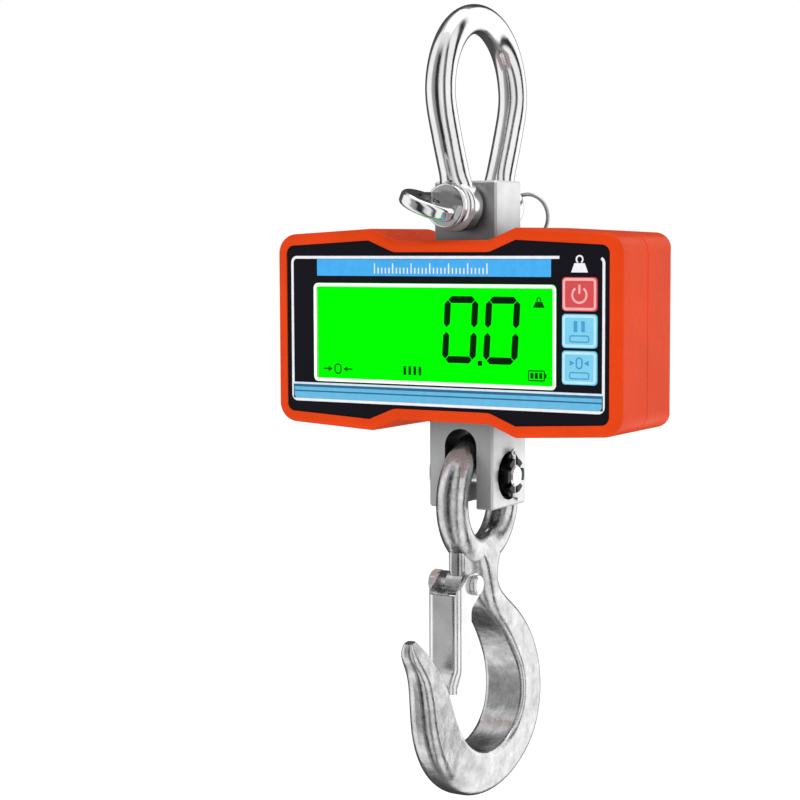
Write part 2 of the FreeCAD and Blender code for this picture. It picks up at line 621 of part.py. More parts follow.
def tray_spring(x):
    """Tapering coil that hangs from the top of the tray down to a cell's flat end."""
    wire_r, wide_r, taper = 0.4, 5.2, 1.8
    turns, steps = 2.5, 24
    room = TRAY[3] - CELL_L / 2
    top = CASE_Z + TRAY[3] - wire_r - 0.05
    height = room - 2 * wire_r - 0.1
    points = []
    for k in range(steps + 1):
        part = k / steps
        angle = 2 * math.pi * turns * part
        radius = wide_r - taper * part
        points.append((x + radius * math.cos(angle), CELL_Y + radius * math.sin(angle), top - height * part))
    return wire_rope(points, wire_r)


def battery_springs():
    """A conical spring at the flat end of each cell."""
    springs = []
    for i, x in enumerate(CELL_X):
        spring = tray_spring(x)
        if i % 2 == 0:
            spring.rotate(V(x, CELL_Y, CASE_Z), X_AXIS, 180)
        springs.append(spring)
    return group(springs)


def battery_plates():
    """Flat contacts at the raised ends of the cells."""
    plates = []
    for i, x in enumerate(CELL_X):
        up = 1 if i % 2 == 0 else -1
        z0, z1 = sorted((CASE_Z + up * (CELL_L / 2 + 0.05), CASE_Z + up * TRAY[3]))
        pad = box(x - 5, x + 5, CELL_Y - 5, CELL_Y + 5, z0, z1)
        dent = box(x - 3.6, x + 3.6, CELL_Y - 6, CELL_Y + 6, z0, z1)
        dent.translate(V(0, 0, up * 0.6))
        plates.append(pad.cut(dent))
    return group(plates)


def battery_door():
    """Flat lid flush with the back, with finger ribs and two screw holes."""
    lid = front_plate(DOOR, REAR_Y - DOOR_T + 0.02, REAR_Y, 3.0)
    lid = lid.makeChamfer(0.4, [e for e in lid.Edges if e.BoundBox.YMin > REAR_Y - 0.01])
    groove_half, groove_step = 0.7, 4.0
    for i in range(-2, 3):
        z = i * groove_step
        lid = lid.cut(front_plate((30, 62, z - groove_half, z + groove_half), REAR_Y - 0.5, REAR_Y + 1, 0.6))
    for x, z in DOOR_SCREWS:
        lid = lid.cut(rod(V(x, REAR_Y - 5, CASE_Z + z), Y_AXIS, 1.4, 10))
        lid = lid.cut(rod(V(x, REAR_Y - 1.1, CASE_Z + z), Y_AXIS, 2.6, 5))
    return lid


def door_screws():
    """Captive screws that lift off with the door."""
    return group([pan_screw(V(x, REAR_Y - 1.1, CASE_Z + z), Y_AXIS * -1, 2.4, 0.9, 1.15, 8)
                  for x, z in DOOR_SCREWS])


# ---- Fixing of the case to the load cell -----------------------------------
def bracket_to_cell_screws():
    """Each screw with the threaded hole it needs in the load cell."""
    pairs = []
    for x in (-8.0, 8.0):
        head = V(x, TANG_HY + 2, CASE_Z + 26)
        screw = pan_screw(head, Y_AXIS * -1, 3.4, 2.2, 2.0, 9)
        hole = rod(head, Y_AXIS * -1, 2.0, 12)
        pairs.append((screw, hole))
    return pairs


def cell_bracket():
    """T-shaped steel plate on the back of the load cell, reaching two case posts."""
    corners = [(-33, 36.6, 1.5), (-33, 30.6, 1.5), (-13, 30.6, 1.0), (-13, 21, 2), (13, 21, 2),
               (13, 30.6, 1.0), (33, 30.6, 1.5), (33, 36.6, 1.5)]
    wire = rounded_loop(corners, lambda u, v: V(u, TANG_HY, CASE_Z + v))
    plate = Part.Face(wire).extrude(V(0, 2, 0))
    for x in (-8.0, 8.0):
        plate = plate.cut(rod(V(x, TANG_HY - 1, CASE_Z + 26), Y_AXIS, 2.2, 4))
    for x in BRACKET_BOSSES:
        plate = plate.cut(rod(V(x, TANG_HY - 1, CASE_Z + BOSS_Z), Y_AXIS, 1.6, 4))
    return plate


def bracket_screws():
    screws = [pair[0] for pair in bracket_to_cell_screws()]
    screws += [pan_screw(V(x, TANG_HY, CASE_Z + BOSS_Z), Y_AXIS, 2.6, 1.8, 1.25, 5) for x in BRACKET_BOSSES]
    return group(screws)


# ---- Hook bolt -------------------------------------------------------------
def hook_bolt():
    """Hexagon bolt through both fork walls, drilled near its end."""
    head_end = V(-HEAD_X - HEAD_T, 0, BOLT_Z)
    head = hex_prism(head_end, X_AXIS, Y_AXIS, FLATS, HEAD_T)
    trim = rod(head_end, X_AXIS, 9.6, HEAD_T)
    trim = trim.makeChamfer(0.8, [e for e in trim.Edges if e.BoundBox.XMax < head_end.x + 0.1])
    shank = rod(V(-HEAD_X - 0.5, 0, BOLT_Z), X_AXIS, BOLT_R, BOLT_END + HEAD_X + 0.5)
    shank = shank.makeChamfer(0.8, [e for e in shank.Edges if e.BoundBox.XMin > BOLT_END - 0.01])
    hole = rod(V(SPLIT_X, 0, BOLT_Z - 9), Z_AXIS, 1.2, 18)
    return join([head.common(trim), shank]).cut(hole)


def bolt_washer():
    return tube(V(-HEAD_X, 0, BOLT_Z), X_AXIS, WASHER_R, BOLT_R, WASHER_T)


def castle_nut():
    """Castle nut with six slots for the split pin."""
    face = V(NUT_FACE, 0, BOLT_Z)
    crown_t, crown_r, slot_half = 3.0, 7.9, 1.3
    body = hex_prism(face, X_AXIS, Y_AXIS, FLATS, NUT_T)
    turned = rod(face, X_AXIS, 9.7, NUT_T - crown_t).fuse(rod(face, X_AXIS, crown_r, NUT_T))
    nut = body.common(turned)
    for i in range(3):
        slot = box(SPLIT_X - slot_half, NUT_FACE + NUT_T + 1, -slot_half, slot_half, BOLT_Z - 12, BOLT_Z + 12)
        slot.rotate(V(0, 0, BOLT_Z), X_AXIS, 60 * i)
        nut = nut.cut(slot)
    return nut.cut(rod(V(NUT_FACE - 1, 0, BOLT_Z), X_AXIS, BOLT_R, NUT_T + 2)).removeSplitter()


def split_pin():
    """Doubled wire with a small eye above and one leg bent over below."""
    wire_r = 1.05
    leg = rod(V(SPLIT_X, 0, BOLT_Z - 9.4), Z_AXIS, wire_r, 18.6)
    eye = Part.makeTorus(1.35, 0.6, V(SPLIT_X, 0, BOLT_Z + 10.4), X_AXIS)
    foot = wire_rope([(SPLIT_X, 0, BOLT_Z - 9.0), (SPLIT_X + 0.5, 0, BOLT_Z - 10.0),
                      (SPLIT_X + 2.6, 0, BOLT_Z - 10.6)], 0.7)
    return join([leg, eye, foot])


# ---- Hook ------------------------------------------------------------------
def hook_section(inner, outer, inner_half, outer_half, inner_round, outer_round):
    """Rounded trapezoid across the hook, wide inside and narrow outside."""
    start = V(0, inner[0], CASE_Z + inner[1])
    along = V(0, outer[0] - inner[0], outer[1] - inner[1])
    depth = along.Length
    along.normalize()
    corners = [(0, -inner_half, inner_round), (depth, -outer_half, outer_round),
               (depth, outer_half, outer_round), (0, inner_half, inner_round)]
    return rounded_loop(corners, lambda u, v: start + along * u + V(v, 0, 0))


# Sections from the tip round the bowl and up to the neck. Each is
# (inner point, outer point, inner half width, outer half width, roundings),
# with the points as (y, z) about the case's middle height.
HOOK_SECTIONS = [
    ((-59.2, -132.8), (-63.6, -133.6), 2.2, 2.0, 1.4, 1.4),
    ((-56.2, -136.0), (-64.6, -137.6), 3.9, 3.3, 1.5, 2.5),
    ((-50.0, -142.2), (-61.8, -143.6), 5.2, 4.3, 1.6, 3.6),
    ((-42.2, -151.5), (-57.4, -151.5), 6.4, 5.2, 1.8, 4.5),
    ((-36.6, -163.5), (-54.9, -163.5), 7.6, 5.8, 1.9, 5.0),
    ((-32.4, -174.5), (-52.2, -177.8), 8.7, 6.2, 2.0, 5.3),
    ((-24.2, -185.2), (-42.2, -195.8), 9.9, 6.6, 2.2, 5.6),
    ((-10.5, -191.8), (-19.5, -210.6), 10.8, 7.0, 2.4, 6.0),
    ((3.5, -192.0), (9.5, -213.4), 11.0, 7.2, 2.4, 6.2),
    ((15.5, -187.6), (33.0, -205.6), 11.0, 7.2, 2.4, 6.2),
    ((23.6, -179.0), (47.4, -192.4), 11.0, 7.2, 2.4, 6.2),
    ((25.6, -168.0), (52.4, -175.2), 11.0, 7.2, 2.4, 6.2),
    ((23.2, -158.0), (50.2, -160.6), 10.7, 7.4, 2.6, 6.3),
    ((17.0, -148.0), (43.0, -146.6), 10.2, 7.6, 3.0, 6.4),
    ((8.8, -138.2), (30.4, -133.6), 9.7, 8.0, 3.6, 6.6),
    ((-1.5, -128.6), (17.4, -124.4), 9.3, 8.5, 5.2, 7.2),
    ((-8.9, -116.5), (8.9, -115.2), 8.9, 8.9, 8.0, 8.0),
    ((-10.6, -107.0), (10.6, -107.0), 8.2, 8.2, 7.6, 7.6),
    ((-13.4, -99.6), (13.4, -99.6), 6.4, 6.4, 5.6, 5.6),
]


def eye_hook():
    """Forged hook: round eye, neck, bowl that narrows to the tip, lug for the latch."""
    eye = Part.makeTorus(EYE_R, EYE_BAR_R, V(0, 0, EYE_Z), X_AXIS)
    body = Part.makeLoft([hook_section(*s) for s in HOOK_SECTIONS], True, False)
    lug = rod(V(-LUG_HX, LATCH_PIN_Y, LATCH_PIN_Z), X_AXIS, LUG_R, 2 * LUG_HX)
    root = box(-LUG_HX, LUG_HX, LATCH_PIN_Y, 0, LATCH_PIN_Z - LUG_R, LATCH_PIN_Z + LUG_R)
    rib = box(-LUG_HX, LUG_HX, RIB_Y, 0, LATCH_PIN_Z, LATCH_PIN_Z + 17.5)
    front_edges = [e for e in rib.Edges if e.BoundBox.YMax < RIB_Y + 0.1 and e.BoundBox.ZLength > 5]
    rib = rib.makeFillet(RIB_ROUND, front_edges)
    hook = join([body, eye, lug, root, rib])
    return hook.cut(rod(V(-LUG_HX - 9, LATCH_PIN_Y, LATCH_PIN_Z), X_AXIS, LATCH_PIN_R, 2 * LUG_HX + 18))


def latch_pin():
    """Bolt through the latch ears and the lug."""
    outside = LATCH_IN + LATCH_T + 0.15
    head = rod(V(outside, LATCH_PIN_Y, LATCH_PIN_Z), X_AXIS, 4.6, 2.6)
    head = head.makeFillet(1.2, [e for e in head.Edges if e.BoundBox.XMin > outside + 2.5])
    shank = rod(V(-outside - 5.6, LATCH_PIN_Y, LATCH_PIN_Z), X_AXIS, LATCH_PIN_R, 2 * outside + 6)
    return join([head, shank])


def latch_nut():
    outside = LATCH_IN + LATCH_T + 0.15
    start = V(-outside - 4.8, LATCH_PIN_Y, LATCH_PIN_Z)
    nut = hex_prism(start, X_AXIS, Y_AXIS, 10.0, 4.8)
    trim = rod(start, X_AXIS, 5.6, 4.8)
    trim = trim.makeChamfer(0.7, [e for e in trim.Edges if e.Length > 30])
    return nut.common(trim).cut(rod(start - X_AXIS, X_AXIS, LATCH_PIN_R, 8))


def folded(solid, half_x, y_front, radius):
    """Rounds the long front edges of a block that is square at both ends."""
    folds = [e for e in solid.Edges if e.BoundBox.YMax < y_front + 0.1 and e.BoundBox.ZLength > 20
             and abs(abs(e.CenterOfMass.x) - half_x) < 0.05]
    return solid.makeFillet(radius, folds)


def safety_latch():
    """Folded sheet channel: web with a lip that meets the tip, flanges, ears on the pin."""
    outer = LATCH_IN + LATCH_T
    web_top, bend, end = CASE_Z - 117.2, CASE_Z - 151.0, LATCH_END
    lip_y, flange_y, inside = LATCH_WEB_Y - 4.2, LATCH_WEB_Y + 12.0, LATCH_WEB_Y + LATCH_T
    ear_top, ear_reach = LATCH_PIN_Z + 5.2, 5.2
    side_loop = [(lip_y, end - 9, 1.0), (flange_y, end - 9, 1.0), (flange_y, CASE_Z - 124.5, 4.0),
                 (LATCH_PIN_Y + ear_reach, CASE_Z - 119.0, 4.0), (LATCH_PIN_Y + ear_reach, ear_top, 4.6),
                 (LATCH_PIN_Y - ear_reach, ear_top, 4.6), (LATCH_WEB_Y, web_top + 1.5, 2.0),
                 (LATCH_WEB_Y, bend, 6.0), (lip_y, bend - 6.5, 5.0)]
    side = Part.Face(rounded_loop(side_loop, lambda u, v: V(-outer, u, v))).extrude(V(2 * outer, 0, 0))
    room_loop = [(inside, web_top + 20, 1.0), (inside, bend - 0.6, 6.0), (lip_y + LATCH_T, bend - 7.1, 5.0),
                 (lip_y + LATCH_T, end - 9, 1.0), (0, end - 9, 1.0), (0, web_top + 20, 1.0)]
    room = Part.Face(rounded_loop(room_loop, lambda u, v: V(-LATCH_IN, u, v)))
    hollow = room.extrude(V(2 * LATCH_IN, 0, 0))
    channel = box(-outer, outer, lip_y - 1, 9, end, web_top)
    web = folded(side.common(channel), outer, LATCH_WEB_Y, FOLD_R)
    web = web.cut(folded(hollow.common(channel), LATCH_IN, inside, FOLD_R - LATCH_T))
    above = box(-outer, outer, LATCH_WEB_Y, 9, web_top, LATCH_PIN_Z + 9)
    column_folds = [e for e in above.Edges if e.BoundBox.YMax < LATCH_WEB_Y + 0.1 and e.BoundBox.XLength < 0.1
                    and e.BoundBox.ZLength > 5]
    ears = side.common(above.makeFillet(FOLD_R, column_folds))
    ears = ears.cut(box(-LATCH_IN, LATCH_IN, LATCH_WEB_Y - 1, 9, web_top, LATCH_PIN_Z + 9))
    hole = rod(V(-outer - 1, LATCH_PIN_Y, LATCH_PIN_Z), X_AXIS, LATCH_PIN_R + RUN, 2 * outer + 2)
    return join([web, ears]).cut(hole)


def latch_spring():
    """Torsion spring: coil round the pin beside the lug, one leg on the web, one on the neck."""
    wire_r, coil_r = 0.4, 3.75
    x0, x1 = LUG_HX + 0.55, LATCH_IN - 0.55
    turns, steps = 1 + 1 / 12, 12
    start_angle = math.radians(-60)
    points = [(x0, LATCH_PIN_Y + 7.6, LATCH_PIN_Z - 1.6)]
    for k in range(steps + 1):
        part = k / steps
        angle = start_angle - 2 * math.pi * turns * part
        points.append((x0 + (x1 - x0) * part, LATCH_PIN_Y + coil_r * math.cos(angle),
                       LATCH_PIN_Z + coil_r * math.sin(angle)))
    rest_y = LATCH_WEB_Y + LATCH_T + wire_r + 0.1
    points.append((x1, LATCH_PIN_Y - 5.5, LATCH_PIN_Z - 5.6))
    points.append((x1 - 0.6, rest_y + 1.2, LATCH_PIN_Z - 14))
    points.append((x1 - 0.8, rest_y, LATCH_PIN_Z - 26))
    return wire_rope(points, wire_r)


# ---- Write every piece -----------------------------------------------------
NODES = {
    "shackle_bow": shackle_bow, "shackle_pin": shackle_pin, "keeper_ring": keeper_ring,
    "load_cell": load_cell, "strain_gauges": strain_gauges, "gauge_covers": gauge_covers,
    "front_cover": front_cover, "rear_cover": rear_cover, "case_gasket": case_gasket,
    "case_screws": case_screws, "upper_seal": upper_seal, "lower_seal": lower_seal,
    "panel_overlay": panel_overlay, "lcd_window": lcd_window, "lcd_glass": lcd_glass,
    "lcd_backlight": lcd_backlight, "lcd_frame": lcd_frame, "lcd_contact_strip": lcd_contact_strip,
    "main_board": main_board, "board_screws": board_screws, "tact_switches": tact_switches,
    "board_chips": board_chips, "board_connectors": board_connectors, "beeper": beeper,
    "ir_receiver": ir_receiver, "gauge_cable": gauge_cable, "battery_leads": battery_leads,
    "battery_tray": battery_tray, "battery_cells": battery_cells, "battery_springs": battery_springs,
    "battery_plates": battery_plates, "battery_door": battery_door, "door_screws": door_screws,
    "cell_bracket": cell_bracket, "bracket_screws": bracket_screws,
    "hook_bolt": hook_bolt, "bolt_washer": bolt_washer, "castle_nut": castle_nut,
    "split_pin": split_pin, "eye_hook": eye_hook, "latch_pin": latch_pin, "latch_nut": latch_nut,
    "safety_latch": safety_latch, "latch_spring": latch_spring,
}
for key_name in KEY_Z:
    NODES[key_name] = lambda name=key_name: key(name)

os.makedirs("parts", exist_ok=True)
for node, make in NODES.items():
    shape = make()
    for solid in shape.Solids:
        if not solid.isValid() or solid.Volume <= 0:
            print("check this solid:", node)
    print(node, len(shape.Solids), round(shape.Volume, 1))
    shape.exportStep("parts/" + node + ".step")
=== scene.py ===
import json
import math

import bmesh
import bpy
from mathutils import Matrix, Vector


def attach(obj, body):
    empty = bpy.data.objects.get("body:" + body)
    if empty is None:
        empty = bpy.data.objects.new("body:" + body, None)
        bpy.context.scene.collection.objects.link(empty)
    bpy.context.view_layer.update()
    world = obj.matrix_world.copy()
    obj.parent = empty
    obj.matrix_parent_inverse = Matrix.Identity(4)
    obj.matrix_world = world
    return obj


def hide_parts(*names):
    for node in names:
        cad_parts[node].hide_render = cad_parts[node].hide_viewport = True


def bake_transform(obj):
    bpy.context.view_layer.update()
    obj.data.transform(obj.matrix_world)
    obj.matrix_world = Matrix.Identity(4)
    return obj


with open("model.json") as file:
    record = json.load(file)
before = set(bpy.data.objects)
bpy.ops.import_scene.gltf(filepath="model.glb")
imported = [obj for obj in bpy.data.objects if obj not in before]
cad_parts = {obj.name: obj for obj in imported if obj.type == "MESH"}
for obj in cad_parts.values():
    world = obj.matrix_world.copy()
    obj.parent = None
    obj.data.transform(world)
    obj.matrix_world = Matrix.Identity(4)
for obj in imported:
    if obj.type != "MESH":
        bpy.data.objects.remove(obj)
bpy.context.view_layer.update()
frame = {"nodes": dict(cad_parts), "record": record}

# Looks of a hanging crane scale, in the frame of the CAD model: +Z up, the display faces -Y,
# the origin is the inside of the shackle's crown. The scene is in metres. The constants are in
# millimetres where nothing else is said, and print is placed from the middle of the case.

MM = 0.001
CASE_Z = -131.8                 # middle height of the case
PANEL_Y = -33.8                 # printed face of the panel
WINDOW_Y = -33.65               # front of the clear window
GLASS_Y = -30.9                 # front of the display glass
KEY_Y = -34.3                   # front of the keys
PRINT_T = 0.04                  # thickness of a printed layer
KEY_X = 67.2                    # middle of the column of keys
KEY_W, KEY_H = 16.4, 14.4       # size of a key
KEY_Z = {"power": 17.1, "hold": 1.6, "zero": -13.9}     # middles, from the middle of the case
DISPLAY_SHIFT = -1.6            # the glass lies behind the window, so its print sits further left


# ---- Node helpers ----------------------------------------------------------
class Nodes:
    """A node tree with short calls to add and join nodes."""

    def __init__(self, tree):
        self.tree = tree
        tree.nodes.clear()

    def add(self, kind, **settings):
        node = self.tree.nodes.new(kind)
        for key, value in settings.items():
            setattr(node, key, value)
        return node

    def put(self, socket, value):
        """Sets a socket to a constant or joins it to another socket."""
        if isinstance(value, bpy.types.NodeSocket):
            self.tree.links.new(value, socket)
        elif isinstance(value, (tuple, list)) and len(value) == 3 and socket.type == "RGBA":
            socket.default_value = (*value, 1.0)
        else:
            socket.default_value = value

    def math(self, operation, a, b=0.0):
        node = self.add("ShaderNodeMath", operation=operation)
        self.put(node.inputs[0], a)
        self.put(node.inputs[1], b)
        return node.outputs[0]

    def noise(self, where, scale, detail=3.0, roughness=0.55, stretch=(1, 1, 1)):
        mapping = self.add("ShaderNodeMapping")
        self.put(mapping.inputs["Vector"], where)
        mapping.inputs["Scale"].default_value = stretch
        node = self.add("ShaderNodeTexNoise")
        self.put(node.inputs["Vector"], mapping.outputs[0])
        node.inputs["Scale"].default_value = scale
        node.inputs["Detail"].default_value = detail
        node.inputs["Roughness"].default_value = roughness
        return node.outputs["Fac"]

    def remap(self, value, low, high, to_low, to_high):
        node = self.add("ShaderNodeMapRange")
        self.put(node.inputs["Value"], value)
        node.inputs["From Min"].default_value = low
        node.inputs["From Max"].default_value = high
        node.inputs["To Min"].default_value = to_low
        node.inputs["To Max"].default_value = to_high
        return node.outputs["Result"]

    def spread(self, noise, to_low, to_high):
        """Brings the middle range of a noise, where most of it lies, to another range."""
        return self.remap(noise, 0.3, 0.7, to_low, to_high)

    def mix(self, factor, a, b):
        node = self.add("ShaderNodeMix", data_type="RGBA", blend_type="MIX")
        self.put(node.inputs["Factor"], factor)
        self.put(node.inputs[6], a)
        self.put(node.inputs[7], b)
        return node.outputs[2]

    def bump(self, height, strength, distance, normal=None):
        node = self.add("ShaderNodeBump")
        self.put(node.inputs["Height"], height)
        node.inputs["Strength"].default_value = strength
        node.inputs["Distance"].default_value = distance
        if normal is not None:
            self.put(node.inputs["Normal"], normal)
        return node.outputs["Normal"]

    def ramp(self, value, stops):
        """Grey that changes evenly from stop to stop; a stop is a place from 0 to 1 and a grey."""
        node = self.add("ShaderNodeValToRGB")
        self.put(node.inputs["Fac"], value)
        band = node.color_ramp
        band.interpolation = "LINEAR"
        while len(band.elements) < len(stops):
            band.elements.new(1.0)
        for element, (place, grey) in zip(band.elements, stops):
            element.position = place
            element.color = (grey, grey, grey, 1.0)
        return node.outputs["Color"]

    def blend_shaders(self, share, first, second):
        node = self.add("ShaderNodeMixShader")
        self.put(node.inputs[0], share)
        self.put(node.inputs[1], first.outputs[0])
        self.put(node.inputs[2], second.outputs[0])
        return node.outputs[0]


def new_material(name):
    material = bpy.data.materials.new(name)
    material.use_nodes = True
    nodes = Nodes(material.node_tree)
    output = nodes.add("ShaderNodeOutputMaterial")
    where = nodes.add("ShaderNodeTexCoord").outputs["Object"]
    return material, nodes, output, where


def principled(nodes, output, **values):
    shader = nodes.add("ShaderNodeBsdfPrincipled")
    for key, value in values.items():
        nodes.put(shader.inputs[key.replace("_", " ")], value)
    nodes.put(output.inputs["Surface"], shader.outputs[0])


# ---- Kinds of surface ------------------------------------------------------
MIRRORED_TONE = (0.46, 0.44, 0.43)      # what the metal parts mirror of a muted plastic
PAINTED_RIM_TONE = (0.04, 0.04, 0.045)          # painted reflection: the dark tone bare metal mirrors near its outline
PAINTED_SHADE_TONE = (0.03, 0.03, 0.032)       # painted shade: bare metal in corners that little light reaches
WEAR_AND_HIGHLIGHT_FROM, WEAR_AND_HIGHLIGHT_TO = 0.52, 0.62         # pointiness where the paler edges, partly rubbed wear and partly painted highlight, start to show and are full
RIM_FROM, RIM_TO = 0.66, 0.9            # share turned away where the rim starts and is darkest
OPEN_FROM, OPEN_TO = 0.35, 0.95         # openness where a corner is darkest and where it is plain
SHELTER_REACH = 0.02                    # metres over which other parts take light away


def worn_and_highlit_edges(nodes, amount):
    """Paler where the surface bends outwards: partly rubbed wear, partly a painted highlight along the
    edges.
    """
    geometry = nodes.add("ShaderNodeNewGeometry")
    return nodes.remap(geometry.outputs["Pointiness"], WEAR_AND_HIGHLIGHT_FROM, WEAR_AND_HIGHLIGHT_TO, 0.0, amount)


def painted_dark_rim(nodes, base, amount):
    """Painted reflection: darker towards the outline, where bare metal mirrors the room's far corners.
    """
    facing = nodes.add("ShaderNodeLayerWeight").outputs["Facing"]
    return nodes.mix(nodes.remap(facing, RIM_FROM, RIM_TO, 0.0, amount), base, PAINTED_RIM_TONE)


def painted_corner_shade(nodes, base, amount):
    """Painted shade: darker where other parts stand close by."""
    open_share = nodes.add("ShaderNodeAmbientOcclusion", samples=8)
    open_share.inputs["Distance"].default_value = SHELTER_REACH
    shade = nodes.remap(open_share.outputs["AO"], OPEN_FROM, OPEN_TO, amount, 0.0)
    return nodes.mix(shade, base, PAINTED_SHADE_TONE)


def plastic(name, colour, rough, grain=900.0, grain_depth=0.00004, wear_and_highlight=0.25, shine=0.5, muted=0.0):
    """Moulded plastic: fine grain, slight colour drift, paler edges that are partly rubbed wear and
    partly painted highlight.

    With muted, its mirror image in the metal parts is greyer than the plastic itself.
    """
    material, nodes, output, where = new_material(name)
    darker = tuple(c * 0.84 for c in colour)
    paler = tuple(min(1.0, c * 1.15 + 0.02) for c in colour)
    drift = nodes.noise(where, scale=28.0, detail=4.0)
    base = nodes.mix(nodes.spread(drift, 0.0, 1.0), darker, colour)
    # paler edges: partly rubbed wear, partly painted highlight
    base = nodes.mix(worn_and_highlit_edges(nodes, wear_and_highlight), base, paler)
    if muted:
        mirrored = nodes.add("ShaderNodeLightPath").outputs["Is Glossy Ray"]
        base = nodes.mix(nodes.math("MULTIPLY", mirrored, muted), base, MIRRORED_TONE)
    smudge = nodes.noise(where, scale=75.0, detail=5.0, roughness=0.65)
    roughness = nodes.remap(smudge, 0.3, 0.75, rough - 0.07, rough + 0.1)
    grains = nodes.noise(where, scale=grain, detail=2.0)
    waves = nodes.noise(where, scale=60.0, detail=2.0)
    normal = nodes.bump(grains, strength=0.35, distance=grain_depth)
    normal = nodes.bump(waves, strength=0.06, distance=0.0004, normal=normal)
    principled(nodes, output, Base_Color=base, Roughness=roughness, Normal=normal,
               Specular_IOR_Level=shine)
    return material


def metal(name, colour, rough, spread=0.06, scratch=(1, 1, 1), scratch_scale=400.0,
          scratch_depth=0.00001, mottle=0.12, rim=0.35, painted_shade=0.0):
    """Bare metal: cloudy tone, uneven roughness, fine directional scratches, a painted reflection that
    darkens it towards the outline and, where asked, painted shade near other parts.
    """
    material, nodes, output, where = new_material(name)
    dark = tuple(c * (1.0 - mottle) for c in colour)
    cloud = nodes.noise(where, scale=55.0, detail=6.0, roughness=0.6)
    base = nodes.mix(nodes.spread(cloud, 0.0, 1.0), dark, colour)
    # painted reflection: darker towards the outline
    base = painted_dark_rim(nodes, base, rim)
    # painted shade where other parts stand close by
    if painted_shade:
        base = painted_corner_shade(nodes, base, painted_shade)
    smear = nodes.noise(where, scale=140.0, detail=4.0, roughness=0.6)
    roughness = nodes.spread(smear, rough - spread, rough + spread)
    lines = nodes.noise(where, scale=scratch_scale, detail=4.0, roughness=0.7, stretch=scratch)
    normal = nodes.bump(lines, strength=0.5, distance=scratch_depth)
    principled(nodes, output, Base_Color=base, Metallic=1.0, Roughness=roughness, Normal=normal)
    return material


def ink(name, colour, rough=0.4, glow=0.0):
    """Printed ink with faint unevenness."""
    material, nodes, output, where = new_material(name)
    thin = tuple(c * 0.88 for c in colour)
    uneven = nodes.noise(where, scale=300.0, detail=4.0, roughness=0.6)
    base = nodes.mix(nodes.spread(uneven, 0.0, 1.0), thin, colour)
    roughness = nodes.spread(uneven, rough - 0.05, rough + 0.08)
    normal = nodes.bump(nodes.noise(where, scale=2200.0, detail=2.0), strength=0.2, distance=0.00001)
    principled(nodes, output, Base_Color=base, Roughness=roughness, Normal=normal,
               Emission_Color=base, Emission_Strength=glow, Specular_IOR_Level=0.08)
    return material


# ---- Materials, one per slot of the record ---------------------------------
def polished_steel():
    return metal("polished_steel", (0.72, 0.72, 0.73), rough=0.13, spread=0.05,
                 scratch=(1, 1, 0.15), scratch_scale=500.0, scratch_depth=0.000006, rim=0.75)


def spring_steel():
    return metal("spring_steel", (0.50, 0.50, 0.52), rough=0.26)


def milled_aluminium():
    """Faces of the load cell with cutter lines that run across the block, and painted shade where other
    parts stand close by.
    """
    return metal("milled_aluminium", (0.76, 0.76, 0.77), rough=0.44, scratch=(0.25, 0.25, 9.0),
                 scratch_scale=260.0, scratch_depth=0.00002, mottle=0.1, rim=0.0, painted_shade=0.7)


def plain_aluminium():
    return metal("plain_aluminium", (0.68, 0.68, 0.69), rough=0.4, spread=0.05, scratch=(1, 8, 1),
                 scratch_scale=300.0)


def gauge_foil():
    return metal("gauge_foil", (0.78, 0.5, 0.3), rough=0.35, spread=0.05, scratch=(9, 1, 1),
                 scratch_scale=500.0)


def screw_steel():
    return metal("screw_steel", (0.42, 0.42, 0.44), rough=0.3, spread=0.08)


def zinc_plate():
    return metal("zinc_plate", (0.84, 0.84, 0.84), rough=0.27, spread=0.08, scratch=(1, 1, 0.2),
                 scratch_scale=420.0, mottle=0.25, rim=0.5)


def black_steel():
    return metal("black_steel", (0.035, 0.035, 0.04), rough=0.4, spread=0.1, mottle=0.4)


def galvanised_steel():
    """Zinc on a forged surface: patchy spangle, low lumps and small pits."""
    material, nodes, output, where = new_material("galvanised_steel")
    cloud = nodes.noise(where, scale=120.0, detail=6.0, roughness=0.7)
    tone = nodes.mix(nodes.remap(cloud, 0.32, 0.66, 0.0, 1.0), (0.38, 0.38, 0.39), (0.7, 0.7, 0.7))
    patches = nodes.add("ShaderNodeTexVoronoi", feature="F1")
    nodes.put(patches.inputs["Vector"], where)
    patches.inputs["Scale"].default_value = 260.0
    spangle = nodes.add("ShaderNodeSeparateColor")
    nodes.put(spangle.inputs[0], patches.outputs["Color"])
    tone = nodes.mix(nodes.math("MULTIPLY", spangle.outputs[0], 0.25), tone, (0.4, 0.4, 0.42))
    # painted reflection: darker towards the outline
    tone = painted_dark_rim(nodes, tone, 0.8)
    smear = nodes.noise(where, scale=190.0, detail=5.0, roughness=0.65)
    roughness = nodes.spread(smear, 0.16, 0.36)
    pits = nodes.noise(where, scale=900.0, detail=3.0, roughness=0.6)
    lumps = nodes.noise(where, scale=130.0, detail=3.0)
    normal = nodes.bump(pits, strength=0.35, distance=0.00005)
    normal = nodes.bump(lumps, strength=0.55, distance=0.0005, normal=normal)
    principled(nodes, output, Base_Color=tone, Metallic=1.0, Roughness=roughness, Normal=normal)
    return material


def orange_plastic():
    # the paler edges of the orange case are partly wear and partly a painted highlight along the rim
    return plastic("orange_plastic", (0.74, 0.056, 0.007), rough=0.3, grain=800.0, grain_depth=0.00003,
                   wear_and_highlight=0.45, shine=0.03, muted=0.88)


def black_rubber():
    return plastic("black_rubber", (0.02, 0.02, 0.022), rough=0.7, grain=700.0, grain_depth=0.00008)


def printed_panel():
    return plastic("printed_panel", (0.006, 0.006, 0.01), rough=0.3, grain=2500.0, grain_depth=0.00001,
                   wear_and_highlight=0.05, shine=0.05)


def white_diffuser():
    return plastic("white_diffuser", (0.8, 0.82, 0.8), rough=0.5)


